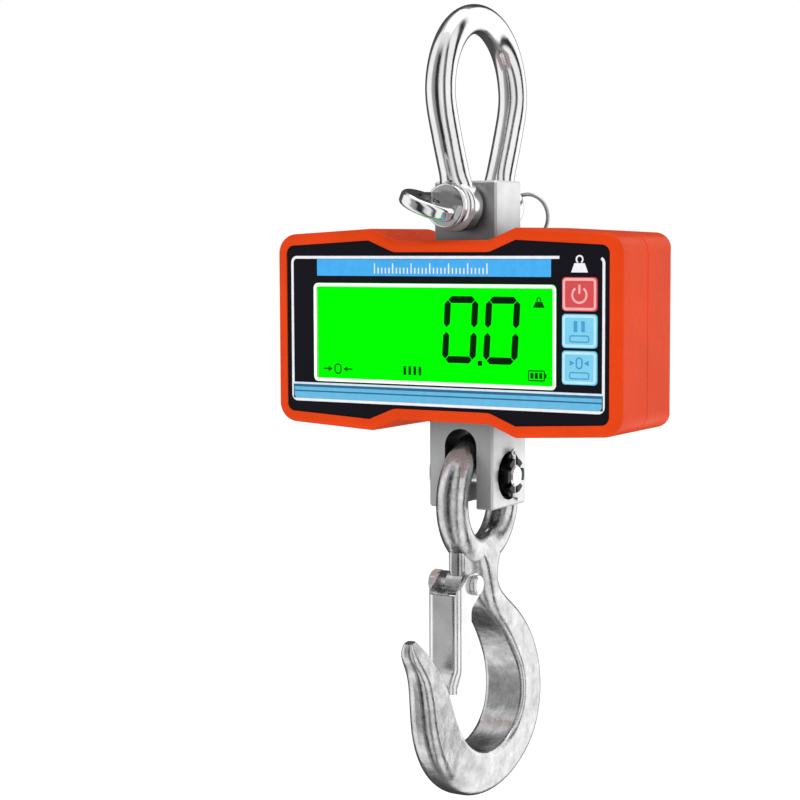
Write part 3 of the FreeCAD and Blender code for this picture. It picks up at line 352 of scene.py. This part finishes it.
def white_plastic():
    return plastic("white_plastic", (0.72, 0.72, 0.7), rough=0.42)


def black_plastic():
    return plastic("black_plastic", (0.025, 0.025, 0.027), rough=0.45)


def grey_cable():
    return plastic("grey_cable", (0.2, 0.2, 0.21), rough=0.5)


def red_cable():
    return plastic("red_cable", (0.5, 0.03, 0.02), rough=0.42)


def red_key():
    return plastic("red_key", (0.66, 0.055, 0.06), rough=0.36, grain=1200.0, grain_depth=0.00002)


def blue_key():
    return plastic("blue_key", (0.19, 0.6, 0.82), rough=0.36, grain=1200.0, grain_depth=0.00002)


def green_board():
    """Solder mask with paler copper runs under it."""
    material, nodes, output, where = new_material("green_board")
    cells = nodes.add("ShaderNodeTexBrick")
    nodes.put(cells.inputs["Vector"], where)
    cells.inputs["Scale"].default_value = 110.0
    nodes.put(cells.inputs["Color1"], (0.01, 0.12, 0.04))
    nodes.put(cells.inputs["Color2"], (0.012, 0.15, 0.05))
    nodes.put(cells.inputs["Mortar"], (0.05, 0.3, 0.1))
    roughness = nodes.spread(nodes.noise(where, scale=90.0), 0.25, 0.42)
    normal = nodes.bump(nodes.noise(where, scale=900.0), strength=0.3, distance=0.00003)
    principled(nodes, output, Base_Color=cells.outputs["Color"], Roughness=roughness, Normal=normal)
    return material


def cell_wrap():
    """Battery sleeve: dark body with a copper-coloured top, split by height."""
    material, nodes, output, where = new_material("cell_wrap")
    split = nodes.add("ShaderNodeSeparateXYZ")
    nodes.put(split.inputs[0], where)
    share = nodes.remap(split.outputs["Z"], (CASE_Z + 9.0) * MM, (CASE_Z + 9.4) * MM, 0.0, 1.0)
    scuff = nodes.noise(where, scale=120.0, detail=5.0)
    dark = nodes.mix(scuff, (0.01, 0.012, 0.015), (0.03, 0.03, 0.035))
    base = nodes.mix(share, dark, (0.55, 0.22, 0.08))
    roughness = nodes.spread(scuff, 0.25, 0.4)
    normal = nodes.bump(nodes.noise(where, scale=600.0), strength=0.2, distance=0.00002)
    principled(nodes, output, Base_Color=base, Metallic=0.35, Roughness=roughness, Normal=normal)
    return material


def clear_window():
    """Clear sheet with a weak, slightly uneven reflection and hairline scratches."""
    material, nodes, output, where = new_material("clear_window")
    clear = nodes.add("ShaderNodeBsdfTransparent")
    nodes.put(clear.inputs["Color"], (0.99, 1.0, 0.99))
    shine = nodes.add("ShaderNodeBsdfGlossy")
    shine.inputs["Roughness"].default_value = 0.06
    hairlines = nodes.noise(where, scale=260.0, detail=4.0, roughness=0.7, stretch=(0.3, 1.0, 6.0))
    nodes.put(shine.inputs["Normal"], nodes.bump(hairlines, strength=0.2, distance=0.00001))
    facing = nodes.add("ShaderNodeLayerWeight")
    facing.inputs["Blend"].default_value = 0.08
    share = nodes.math("MULTIPLY", facing.outputs["Fresnel"], 0.04)
    nodes.put(output.inputs["Surface"], nodes.blend_shaders(share, clear, shine))
    return material


def green_display():
    """Lit display glass: even green, a little weaker towards the ends."""
    material, nodes, output, where = new_material("green_display")
    split = nodes.add("ShaderNodeSeparateXYZ")
    nodes.put(split.inputs[0], where)
    middle_x, even_to, end_at = -0.0052, 0.04, 0.062
    away = nodes.math("ABSOLUTE", nodes.math("SUBTRACT", split.outputs["X"], middle_x))
    strength = nodes.remap(away, even_to, end_at, 1.0, 0.93)
    patchy = nodes.noise(where, scale=40.0, detail=2.0)
    glow = nodes.mix(patchy, (0.0, 0.93, 0.0), (0.0, 1.0, 0.0))
    grain = nodes.bump(nodes.noise(where, scale=1500.0), strength=0.1, distance=0.00001)
    principled(nodes, output, Base_Color=(0.001, 0.15, 0.001), Roughness=0.3, Normal=grain,
               Emission_Color=glow, Emission_Strength=strength, Specular_IOR_Level=0.0)
    return material


SLOTS = [
    polished_steel, spring_steel, milled_aluminium, plain_aluminium, gauge_foil, orange_plastic,
    black_rubber, screw_steel, printed_panel, clear_window, green_display, white_diffuser,
    white_plastic, green_board, black_plastic, grey_cable, red_cable, cell_wrap, zinc_plate,
    black_steel, galvanised_steel, red_key, blue_key,
]
materials = {make.__name__: make() for make in SLOTS}
slot_of = {part["node"]: part["material_slot"] for part in frame["record"]["subparts"]}
for node_name, node in frame["nodes"].items():
    node.data.materials.clear()
    node.data.materials.append(materials[slot_of[node_name]])


# ---- Outlines, in millimetres in the plane of the panel --------------------
def arc(cx, cz, radius, start, end, steps=8):
    """Points on a circle from start to end, in degrees."""
    points = []
    for i in range(steps + 1):
        angle = math.radians(start + (end - start) * i / steps)
        points.append((cx + radius * math.cos(angle), cz + radius * math.sin(angle)))
    return points


def rounded(left, right, bottom, top, radius):
    points = arc(left + radius, bottom + radius, radius, 180, 270)
    points += arc(right - radius, bottom + radius, radius, 270, 360)
    points += arc(right - radius, top - radius, radius, 0, 90)
    points += arc(left + radius, top - radius, radius, 90, 180)
    return points


def area(left, right, bottom, top):
    return [(left, bottom), (right, bottom), (right, top), (left, top)]


def stroke(path, width, closed=False):
    """Band of the given width along a path, as a list of four-cornered pieces."""
    count = len(path)
    sides = []
    for i, (x, z) in enumerate(path):
        before = path[i - 1] if (i > 0 or closed) else path[i]
        after = path[(i + 1) % count] if (i < count - 1 or closed) else path[i]
        first = Vector((x - before[0], z - before[1]))
        second = Vector((after[0] - x, after[1] - z))
        first = first.normalized() if first.length > 1e-9 else second.normalized()
        second = second.normalized() if second.length > 1e-9 else first
        along = (first + second).normalized()
        across = Vector((-along.y, along.x))
        reach = width / 2 / max(0.4, across.dot(Vector((-first.y, first.x))))
        dx, dz = across.x * reach, across.y * reach
        sides.append(((x + dx, z + dz), (x - dx, z - dz)))
    pieces = []
    for i in range(count if closed else count - 1):
        a, b = sides[i], sides[(i + 1) % count]
        pieces.append([a[1], b[1], b[0], a[0]])
    return pieces


# ---- Printed layers --------------------------------------------------------
def new_piece(name, bm, material):
    """Turns the built faces into an object of the scene."""
    mesh = bpy.data.meshes.new(name)
    bm.to_mesh(mesh)
    bm.free()
    mesh.materials.append(material)
    piece = bpy.data.objects.new(name, mesh)
    bpy.context.scene.collection.objects.link(piece)
    return piece


def print_layer(name, body, ink_material, pieces, y):
    """Thin raised print on a face at depth y: every outline becomes a low solid."""
    bm = bmesh.new()
    front, back = y - PRINT_T, y
    for outline in pieces:
        near = [bm.verts.new((x * MM, front * MM, (CASE_Z + z) * MM)) for x, z in outline]
        far = [bm.verts.new((x * MM, back * MM, (CASE_Z + z) * MM)) for x, z in outline]
        bm.faces.new(near)
        bm.faces.new(list(reversed(far)))
        for i in range(len(outline)):
            j = (i + 1) % len(outline)
            bm.faces.new((near[i], far[i], far[j], near[j]))
    bmesh.ops.remove_doubles(bm, verts=bm.verts, dist=1e-7)
    bmesh.ops.recalc_face_normals(bm, faces=bm.faces)
    piece = new_piece(name, bm, ink_material)
    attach(piece, body)


def panel_print(name, ink_material, pieces, layer=0):
    """Print on the panel; layer 1 lies on top of layer 0."""
    print_layer(name, "case", ink_material, pieces, PANEL_Y - layer * PRINT_T)


def display_print(name, ink_material, pieces):
    shifted = [[(x + DISPLAY_SHIFT, z) for x, z in outline] for outline in pieces]
    print_layer(name, "case", ink_material, shifted, GLASS_Y)


def key_print(key, what, ink_material, pieces):
    print_layer(f"{key}_key_{what}", f"{key}_button", ink_material, pieces, KEY_Y)


white_ink = ink("white_ink", (0.82, 0.82, 0.86))
pale_blue_ink = ink("pale_blue_ink", (0.62, 0.76, 0.88))
title_ink = ink("title_ink", (0.06, 0.4, 0.83))
band_ink = ink("band_ink", (0.13, 0.46, 0.72))
navy_ink = ink("navy_ink", (0.03, 0.13, 0.24))
# the window border glows faintly: a painted glow, the print is no lamp
painted_glow_border_ink = ink("painted_glow_border_ink", (0.8, 0.98, 0.8), glow=0.25)
segment_ink = ink("segment_ink", (0.0, 0.014, 0.001), rough=0.7)
mark_ink = ink("mark_ink", (0.0, 0.06, 0.003), rough=0.7)
pink_ink = ink("pink_ink", (0.86, 0.42, 0.42))
sky_ink = ink("sky_ink", (0.45, 0.78, 0.92))
key_blue_ink = ink("key_blue_ink", (0.06, 0.33, 0.6))


# ---- Panel -----------------------------------------------------------------
LINE_X, LINE_Z = 78.2, 32.5     # the frame line, from the middle of the case
LINE_W, LINE_R = 1.25, 2.4      # its width and the radius of its corners
LINE_END_X = 57.6               # where it stops above the keys


def frame_line():
    """White line round the panel, broken above the keys."""
    corner_x, corner_z = LINE_X - LINE_R, LINE_Z - LINE_R
    path = [(LINE_END_X, LINE_Z)]
    path += arc(-corner_x, corner_z, LINE_R, 90, 180)
    path += arc(-corner_x, -corner_z, LINE_R, 180, 270)
    path += arc(corner_x, -corner_z, LINE_R, 270, 360)
    path += arc(corner_x, corner_z, LINE_R, 0, 60)
    panel_print("panel_frame_line", white_ink, stroke(path, LINE_W))


def title_band():
    """Blue band with a graduated scale instead of a title."""
    left, right, bottom, top = -64.7, 53.7, 24.2, 31.7
    panel_print("panel_title_band", title_ink, [area(left, right, bottom, top)])
    middle, foot, step, half_width = (left + right) / 2, bottom + 1.1, 1.9, 0.3
    ticks = []
    for i in range(-15, 16):
        height = 4.6 if i % 5 == 0 else 2.6
        x = middle + step * i
        ticks.append(area(x - half_width, x + half_width, foot, foot + height))
    panel_print("panel_scale_ticks", white_ink, ticks, layer=1)


def lower_band():
    """Blue stripes along the bottom of the panel."""
    left, right, bottom, top = -78.0, 78.0, -31.8, -24.5
    pale_to, dark_to = top - 0.9, top - 2.1
    panel_print("panel_lower_band", band_ink, [area(left, right, bottom, top)])
    panel_print("panel_band_lines", pale_blue_ink, [area(left, right, pale_to, top)], layer=1)
    dark_lines = [area(left, right, dark_to, pale_to), area(left, right, bottom + 3.0, bottom + 3.6)]
    panel_print("panel_band_shadow", navy_ink, dark_lines, layer=1)


def corner_symbol():
    """Small weight with a ring on top, at the top right of the panel."""
    cx, top, foot = 67.0, 30.1, 26.2
    pieces = stroke(arc(cx, top + 1.6, 1.5, -60, 240, 14), 0.7)
    pieces.append([(cx - 2.4, top), (cx - 3.9, foot), (cx + 3.9, foot), (cx + 2.4, top)])
    panel_print("panel_weight_symbol", white_ink, pieces)


def window_border():
    outline = rounded(-66.0, 55.3, -23.0, 20.1, 1.6)
    print_layer("window_border", "case", painted_glow_border_ink, stroke(outline, 1.5, True), WINDOW_Y)


# ---- Display ---------------------------------------------------------------
DIGIT_W, DIGIT_H, SEG_T = 16.8, 29.4, 3.1
SLANT = 0.06                    # how far a digit leans for its height
CORNER_GAP, MIDDLE_GAP = 0.25, 1.0     # between bars, at the corners and half way up
DIGIT_BOTTOM = -13.8


def segment(x0, z0, x1, z1):
    """Straight bar with pointed ends between two points of a digit."""
    along = Vector((x1 - x0, z1 - z0)).normalized()
    across = Vector((-along.y, along.x)) * (SEG_T / 2)
    tip = along * (SEG_T / 2)
    a, b = Vector((x0, z0)), Vector((x1, z1))
    return [a, a + tip - across, b - tip - across, b, b - tip + across, a + tip + across]


def zero_digit(left):
    """The six outer bars of a seven-bar digit, leaning to the right."""
    half = SEG_T / 2
    low, mid, high = DIGIT_BOTTOM + half, DIGIT_BOTTOM + DIGIT_H / 2, DIGIT_BOTTOM + DIGIT_H - half
    x0, x1 = left + half, left + DIGIT_W - half
    bars = [segment(x0 + CORNER_GAP, z, x1 - CORNER_GAP, z) for z in (low, high)]
    for x in (x0, x1):
        bars.append(segment(x, low + CORNER_GAP, x, mid - MIDDLE_GAP))
        bars.append(segment(x, mid + MIDDLE_GAP, x, high - CORNER_GAP))
    return [[(p.x + (p.y - DIGIT_BOTTOM) * SLANT, p.y) for p in bar] for bar in bars]


def display_digits():
    """Two noughts with the decimal point between them."""
    pieces = zero_digit(0.4) + zero_digit(20.9)
    pieces.append(rounded(18.4, 20.6, -14.6, -12.4, 0.5))
    display_print("display_digits", segment_ink, pieces)


def battery_mark(x, z):
    """Full battery: a frame, its pole and three bars."""
    pieces = stroke(rounded(x, x + 7.6, z, z + 4.2, 0.4), 0.55, True)
    pieces.append(area(x + 7.9, x + 8.6, z + 1.2, z + 3.0))
    for i in range(3):
        left = x + 0.9 + 2.1 * i
        pieces.append(area(left, left + 1.5, z + 0.8, z + 3.4))
    return pieces


def zero_mark(x, z):
    """Two small arrows that point at a nought."""
    pieces = stroke(rounded(x + 6.2, x + 9.4, z, z + 4.2, 1.5), 0.65, True)
    for start, way in ((x, 1), (x + 15.6, -1)):
        neck, tip = start + way * 2.7, start + way * 4.9
        pieces.append(area(*sorted((start, start + way * 3.0)), z + 1.8, z + 2.4))
        pieces.append([(neck, z + 0.8), (tip, z + 2.1), (neck, z + 3.4)])
    return pieces


def steady_mark(x, z):
    """Four bars of equal height: the reading has settled."""
    return [area(x + 2.6 * i, x + 1.4 + 2.6 * i, z, z + 4.0) for i in range(4)]


def weight_mark(x, z):
    """The same weight, smaller."""
    pieces = stroke(arc(x + 2.8, z + 3.4, 0.9, -50, 230, 10), 0.5)
    pieces.append([(x + 1.2, z + 2.6), (x, z), (x + 5.6, z), (x + 4.4, z + 2.6)])
    return pieces


def display_marks():
    pieces = zero_mark(-61.8, -20.2) + steady_mark(-19.3, -19.8)
    pieces += weight_mark(45.3, 11.0) + battery_mark(43.2, -20.2)
    display_print("display_marks", mark_ink, pieces)


# ---- Keys ------------------------------------------------------------------
KEY_MARGIN = 1.0                # from a key's edge to the line printed round it


def key_border(key, ink_material):
    middle = KEY_Z[key]
    half_w, half_h = KEY_W / 2 - KEY_MARGIN, KEY_H / 2 - KEY_MARGIN
    outline = rounded(KEY_X - half_w, KEY_X + half_w, middle - half_h, middle + half_h, 1.2)
    key_print(key, "border", ink_material, stroke(outline, 1.1, True))


def power_icon():
    """A ring that is open at the top, with a bar in the gap."""
    z = KEY_Z["power"]
    pieces = stroke(arc(KEY_X, z - 0.3, 3.3, 125, 415, 20), 0.95)
    pieces.append(area(KEY_X - 0.5, KEY_X + 0.5, z + 0.2, z + 4.0))
    key_print("power", "icon", pink_ink, pieces)


def flat_ring(z):
    """Flat ring under the sign of a blue key."""
    return stroke(rounded(KEY_X - 4.4, KEY_X + 4.4, z - 4.6, z - 2.0, 0.8), 0.55, True)


def hold_icon():
    """Two bars over a flat ring: keep the reading."""
    z = KEY_Z["hold"]
    foot, top = z - 0.4, z + 4.2
    pieces = [area(KEY_X - 2.6, KEY_X - 0.9, foot, top), area(KEY_X + 0.9, KEY_X + 2.6, foot, top)]
    key_print("hold", "icon", key_blue_ink, pieces + flat_ring(z))


def zero_icon():
    """A nought between two arrow heads, over a flat ring."""
    z = KEY_Z["zero"]
    pieces = stroke(rounded(KEY_X - 1.3, KEY_X + 1.3, z - 0.2, z + 4.2, 1.2), 0.7, True)
    for way in (-1, 1):
        tip, back = KEY_X + way * 2.2, KEY_X + way * 4.4
        pieces.append([(tip, z + 2.0), (back, z + 0.8), (back, z + 3.2)])
    key_print("zero", "icon", key_blue_ink, pieces + flat_ring(z))


frame_line()
title_band()
lower_band()
corner_symbol()
window_border()
display_digits()
display_marks()
key_border("power", pink_ink)
key_border("hold", sky_ink)
key_border("zero", sky_ink)
power_icon()
hold_icon()
zero_icon()


# ---- Latch spring, in millimetres ------------------------------------------
LATCH_PIN_Y, LATCH_PIN_Z = -18.0, CASE_Z - 114.0
WIRE_R, WIRE_SIDES = 0.4, 10
COIL_R, COIL_START = 3.75, -60  # radius, and degrees where the short leg joins the coil
COIL_X = (4.55, 6.05)           # from the lug to the latch's ear
COIL_TURNS, COIL_STEPS = 13 / 12, 26
WEB_INSIDE_Y = -31.0            # where the long leg rests against the latch


def spring_path():
    """Short leg on the hook's neck, a little over one turn round the pin, long leg on the latch."""
    near_x, far_x = COIL_X
    path = [(near_x, LATCH_PIN_Y + 7.6, LATCH_PIN_Z - 1.6)]
    for k in range(COIL_STEPS + 1):
        part = k / COIL_STEPS
        angle = math.radians(COIL_START) - 2 * math.pi * COIL_TURNS * part
        path.append((near_x + (far_x - near_x) * part, LATCH_PIN_Y + COIL_R * math.cos(angle),
                     LATCH_PIN_Z + COIL_R * math.sin(angle)))
    path.append((far_x, LATCH_PIN_Y - 5.5, LATCH_PIN_Z - 5.6))
    path.append((far_x - 0.6, WEB_INSIDE_Y + 1.2, LATCH_PIN_Z - 14))
    path.append((far_x - 0.8, WEB_INSIDE_Y, LATCH_PIN_Z - 26))
    return [Vector(point) for point in path]


def smooth_path(points, parts=5):
    """Curve through the points, with extra points between them."""
    ends = [points[0] * 2 - points[1]] + points + [points[-1] * 2 - points[-2]]
    curve = []
    for a, b, c, d in zip(ends, ends[1:], ends[2:], ends[3:]):
        for k in range(parts):
            t = k / parts
            bend = (a * 2 - b * 5 + c * 4 - d) * t * t + (b * 3 - a - c * 3 + d) * t * t * t
            curve.append((b * 2 + (c - a) * t + bend) / 2)
    return curve + [points[-1]]


def wire(path):
    """Round wire along a path, closed at both ends."""
    bm = bmesh.new()
    rings = []
    across = Vector((1, 0, 0))
    for i, point in enumerate(path):
        ahead = (path[min(i + 1, len(path) - 1)] - path[max(i - 1, 0)]).normalized()
        across = (across - ahead * across.dot(ahead)).normalized()
        other = ahead.cross(across)
        ring = []
        for k in range(WIRE_SIDES):
            angle = 2 * math.pi * k / WIRE_SIDES
            place = point + (across * math.cos(angle) + other * math.sin(angle)) * WIRE_R
            ring.append(bm.verts.new(place * MM))
        rings.append(ring)
    for first, second in zip(rings, rings[1:]):
        for k in range(WIRE_SIDES):
            j = (k + 1) % WIRE_SIDES
            bm.faces.new((first[k], first[j], second[j], second[k])).smooth = True
    bm.faces.new(rings[0][::-1])
    bm.faces.new(rings[-1])
    bmesh.ops.recalc_face_normals(bm, faces=bm.faces)
    return bm


def latch_spring():
    """Round wire in place of the CAD spring, which is hidden."""
    bm = wire(smooth_path(spring_path()))
    piece = new_piece("latch_spring_wire", bm, materials["spring_steel"])
    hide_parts("latch_spring")
    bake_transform(piece)


latch_spring()


# ---- Floor, light and camera -----------------------------------------------
FLOOR_Z, FLOOR_R, FLOOR_SIDES = -0.75, 30.0, 64
MIDDLE = (0.0, 0.0, -0.17)      # of the object, where the lights point
CAMERA_AT = (0.4140, -0.7578, -0.0932)
VIEW_YAW, VIEW_PITCH, VIEW_ROLL = 31.0, 4.70, -0.23    # degrees
LENS, SENSOR = 85.66, 36.0      # millimetres
ROOM_GREY = (0.62, 0.62, 0.62)  # light of the room on matt surfaces
CEILING = (1.1, 1.1, 1.1)       # above and below, as shiny surfaces see them
GROUND = (0.25, 0.25, 0.26)

# The walls as shiny surfaces see them: an angle round the object, in degrees, and a grey.
# 0 is towards the camera, 90 to the camera's right, and 180 behind the object.
WALLS = [
    (-180, 0.1), (-128, 0.1), (-120, 1.3), (-78, 1.3), (-68, 0.5), (-46, 0.35), (-40, 0.03),
    (-18, 0.04), (-12, 0.9), (12, 1.3), (20, 0.5), (28, 0.1), (36, 0.1), (42, 1.3), (78, 1.3),
    (84, 0.03), (98, 0.03), (104, 1.5), (146, 1.5), (154, 0.06), (180, 0.1),
]


def floor_disc():
    """Pale floor, seen only from above."""
    material, nodes, output, where = new_material("pale_floor")
    speck = nodes.noise(where, scale=6.0, detail=4.0)
    pale = nodes.add("ShaderNodeBsdfPrincipled")
    nodes.put(pale.inputs["Base Color"], nodes.mix(speck, (0.86, 0.86, 0.86), (0.9, 0.9, 0.9)))
    nodes.put(pale.inputs["Roughness"], 0.8)
    nodes.put(pale.inputs["Emission Color"], (1.0, 1.0, 1.0))
    nodes.put(pale.inputs["Emission Strength"], 0.5)
    nothing = nodes.add("ShaderNodeBsdfTransparent")
    from_below = nodes.add("ShaderNodeNewGeometry").outputs["Backfacing"]
    nodes.put(output.inputs["Surface"], nodes.blend_shaders(from_below, pale, nothing))
    bm = bmesh.new()
    angles = [2 * math.pi * i / FLOOR_SIDES for i in range(FLOOR_SIDES)]
    rim = [bm.verts.new((FLOOR_R * math.cos(a), FLOOR_R * math.sin(a), FLOOR_Z)) for a in angles]
    bm.faces.new(rim)
    disc = new_piece("floor", bm, material)
    disc.visible_glossy = False


def studio_world():
    """White for the camera, even grey for matt surfaces, dark and light walls for shiny ones."""
    world = bpy.data.worlds.new("studio")
    world.use_nodes = True
    bpy.context.scene.world = world
    nodes = Nodes(world.node_tree)
    output = nodes.add("ShaderNodeOutputWorld")
    split = nodes.add("ShaderNodeSeparateXYZ")
    nodes.put(split.inputs[0], nodes.add("ShaderNodeTexCoord").outputs["Generated"])
    turn = nodes.math("ARCTAN2", split.outputs["Y"], split.outputs["X"])
    # 0 is the way the camera looks, 0.5 is the way back to it
    share = nodes.math("ADD", nodes.math("DIVIDE", turn, 2 * math.pi), (90.0 - VIEW_YAW) / 360.0 + 0.5)
    share = nodes.math("FRACT", share)
    walls = nodes.ramp(share, [((angle + 180) / 360, grey) for angle, grey in WALLS])
    upwards = nodes.remap(split.outputs["Z"], 0.72, 0.9, 0.0, 1.0)
    downwards = nodes.remap(split.outputs["Z"], -0.98, -0.85, 1.0, 0.0)
    shiny = nodes.mix(downwards, nodes.mix(upwards, walls, CEILING), GROUND)
    path = nodes.add("ShaderNodeLightPath")
    lit = nodes.mix(path.outputs["Is Glossy Ray"], ROOM_GREY, shiny)
    seen = nodes.mix(path.outputs["Is Camera Ray"], lit, (1.0, 1.0, 1.0))
    background = nodes.add("ShaderNodeBackground")
    nodes.put(background.inputs["Color"], seen)
    nodes.put(output.inputs["Surface"], background.outputs[0])


def softbox(name, place, size, power, in_reflections=True):
    """Rectangular lamp that points at the middle of the object."""
    light = bpy.data.lights.new(name, "AREA")
    light.shape = "RECTANGLE"
    light.size, light.size_y = size
    light.energy = power
    lamp = bpy.data.objects.new(name, light)
    lamp.location = place
    lamp.visible_glossy = in_reflections
    lamp.rotation_euler = (Vector(MIDDLE) - Vector(place)).to_track_quat("-Z", "Y").to_euler()
    bpy.context.scene.collection.objects.link(lamp)


def photo_camera():
    yaw, pitch, roll = (math.radians(a) for a in (VIEW_YAW, VIEW_PITCH, VIEW_ROLL))
    ahead = Vector((-math.sin(yaw) * math.cos(pitch), math.cos(yaw) * math.cos(pitch), -math.sin(pitch)))
    level_right = Vector((math.cos(yaw), math.sin(yaw), 0))
    level_up = level_right.cross(ahead)
    right = level_right * math.cos(roll) + level_up * math.sin(roll)
    up = level_up * math.cos(roll) - level_right * math.sin(roll)
    lens = bpy.data.cameras.new("camera")
    lens.sensor_width = SENSOR
    lens.lens = LENS
    lens.clip_start, lens.clip_end = 0.01, 100.0
    camera = bpy.data.objects.new("camera", lens)
    axes = Matrix((right, up, -ahead)).transposed()
    camera.matrix_world = Matrix.Translation(CAMERA_AT) @ axes.to_4x4()
    bpy.context.scene.collection.objects.link(camera)
    bpy.context.scene.camera = camera


floor_disc()
studio_world()
softbox("key_light", (0.9, -0.7, 0.5), size=(0.7, 0.9), power=5.0, in_reflections=False)
softbox("fill_light", (-0.9, -0.9, 0.1), size=(0.8, 0.8), power=3.0, in_reflections=False)
softbox("top_light", (0.0, 0.2, 1.0), size=(0.8, 0.8), power=4.0)
softbox("back_light", (-0.4, 1.0, 0.3), size=(0.8, 0.8), power=3.0, in_reflections=False)
photo_camera()
bpy.context.scene.view_settings.view_transform = "Standard"
bpy.context.scene.view_settings.look = "None"
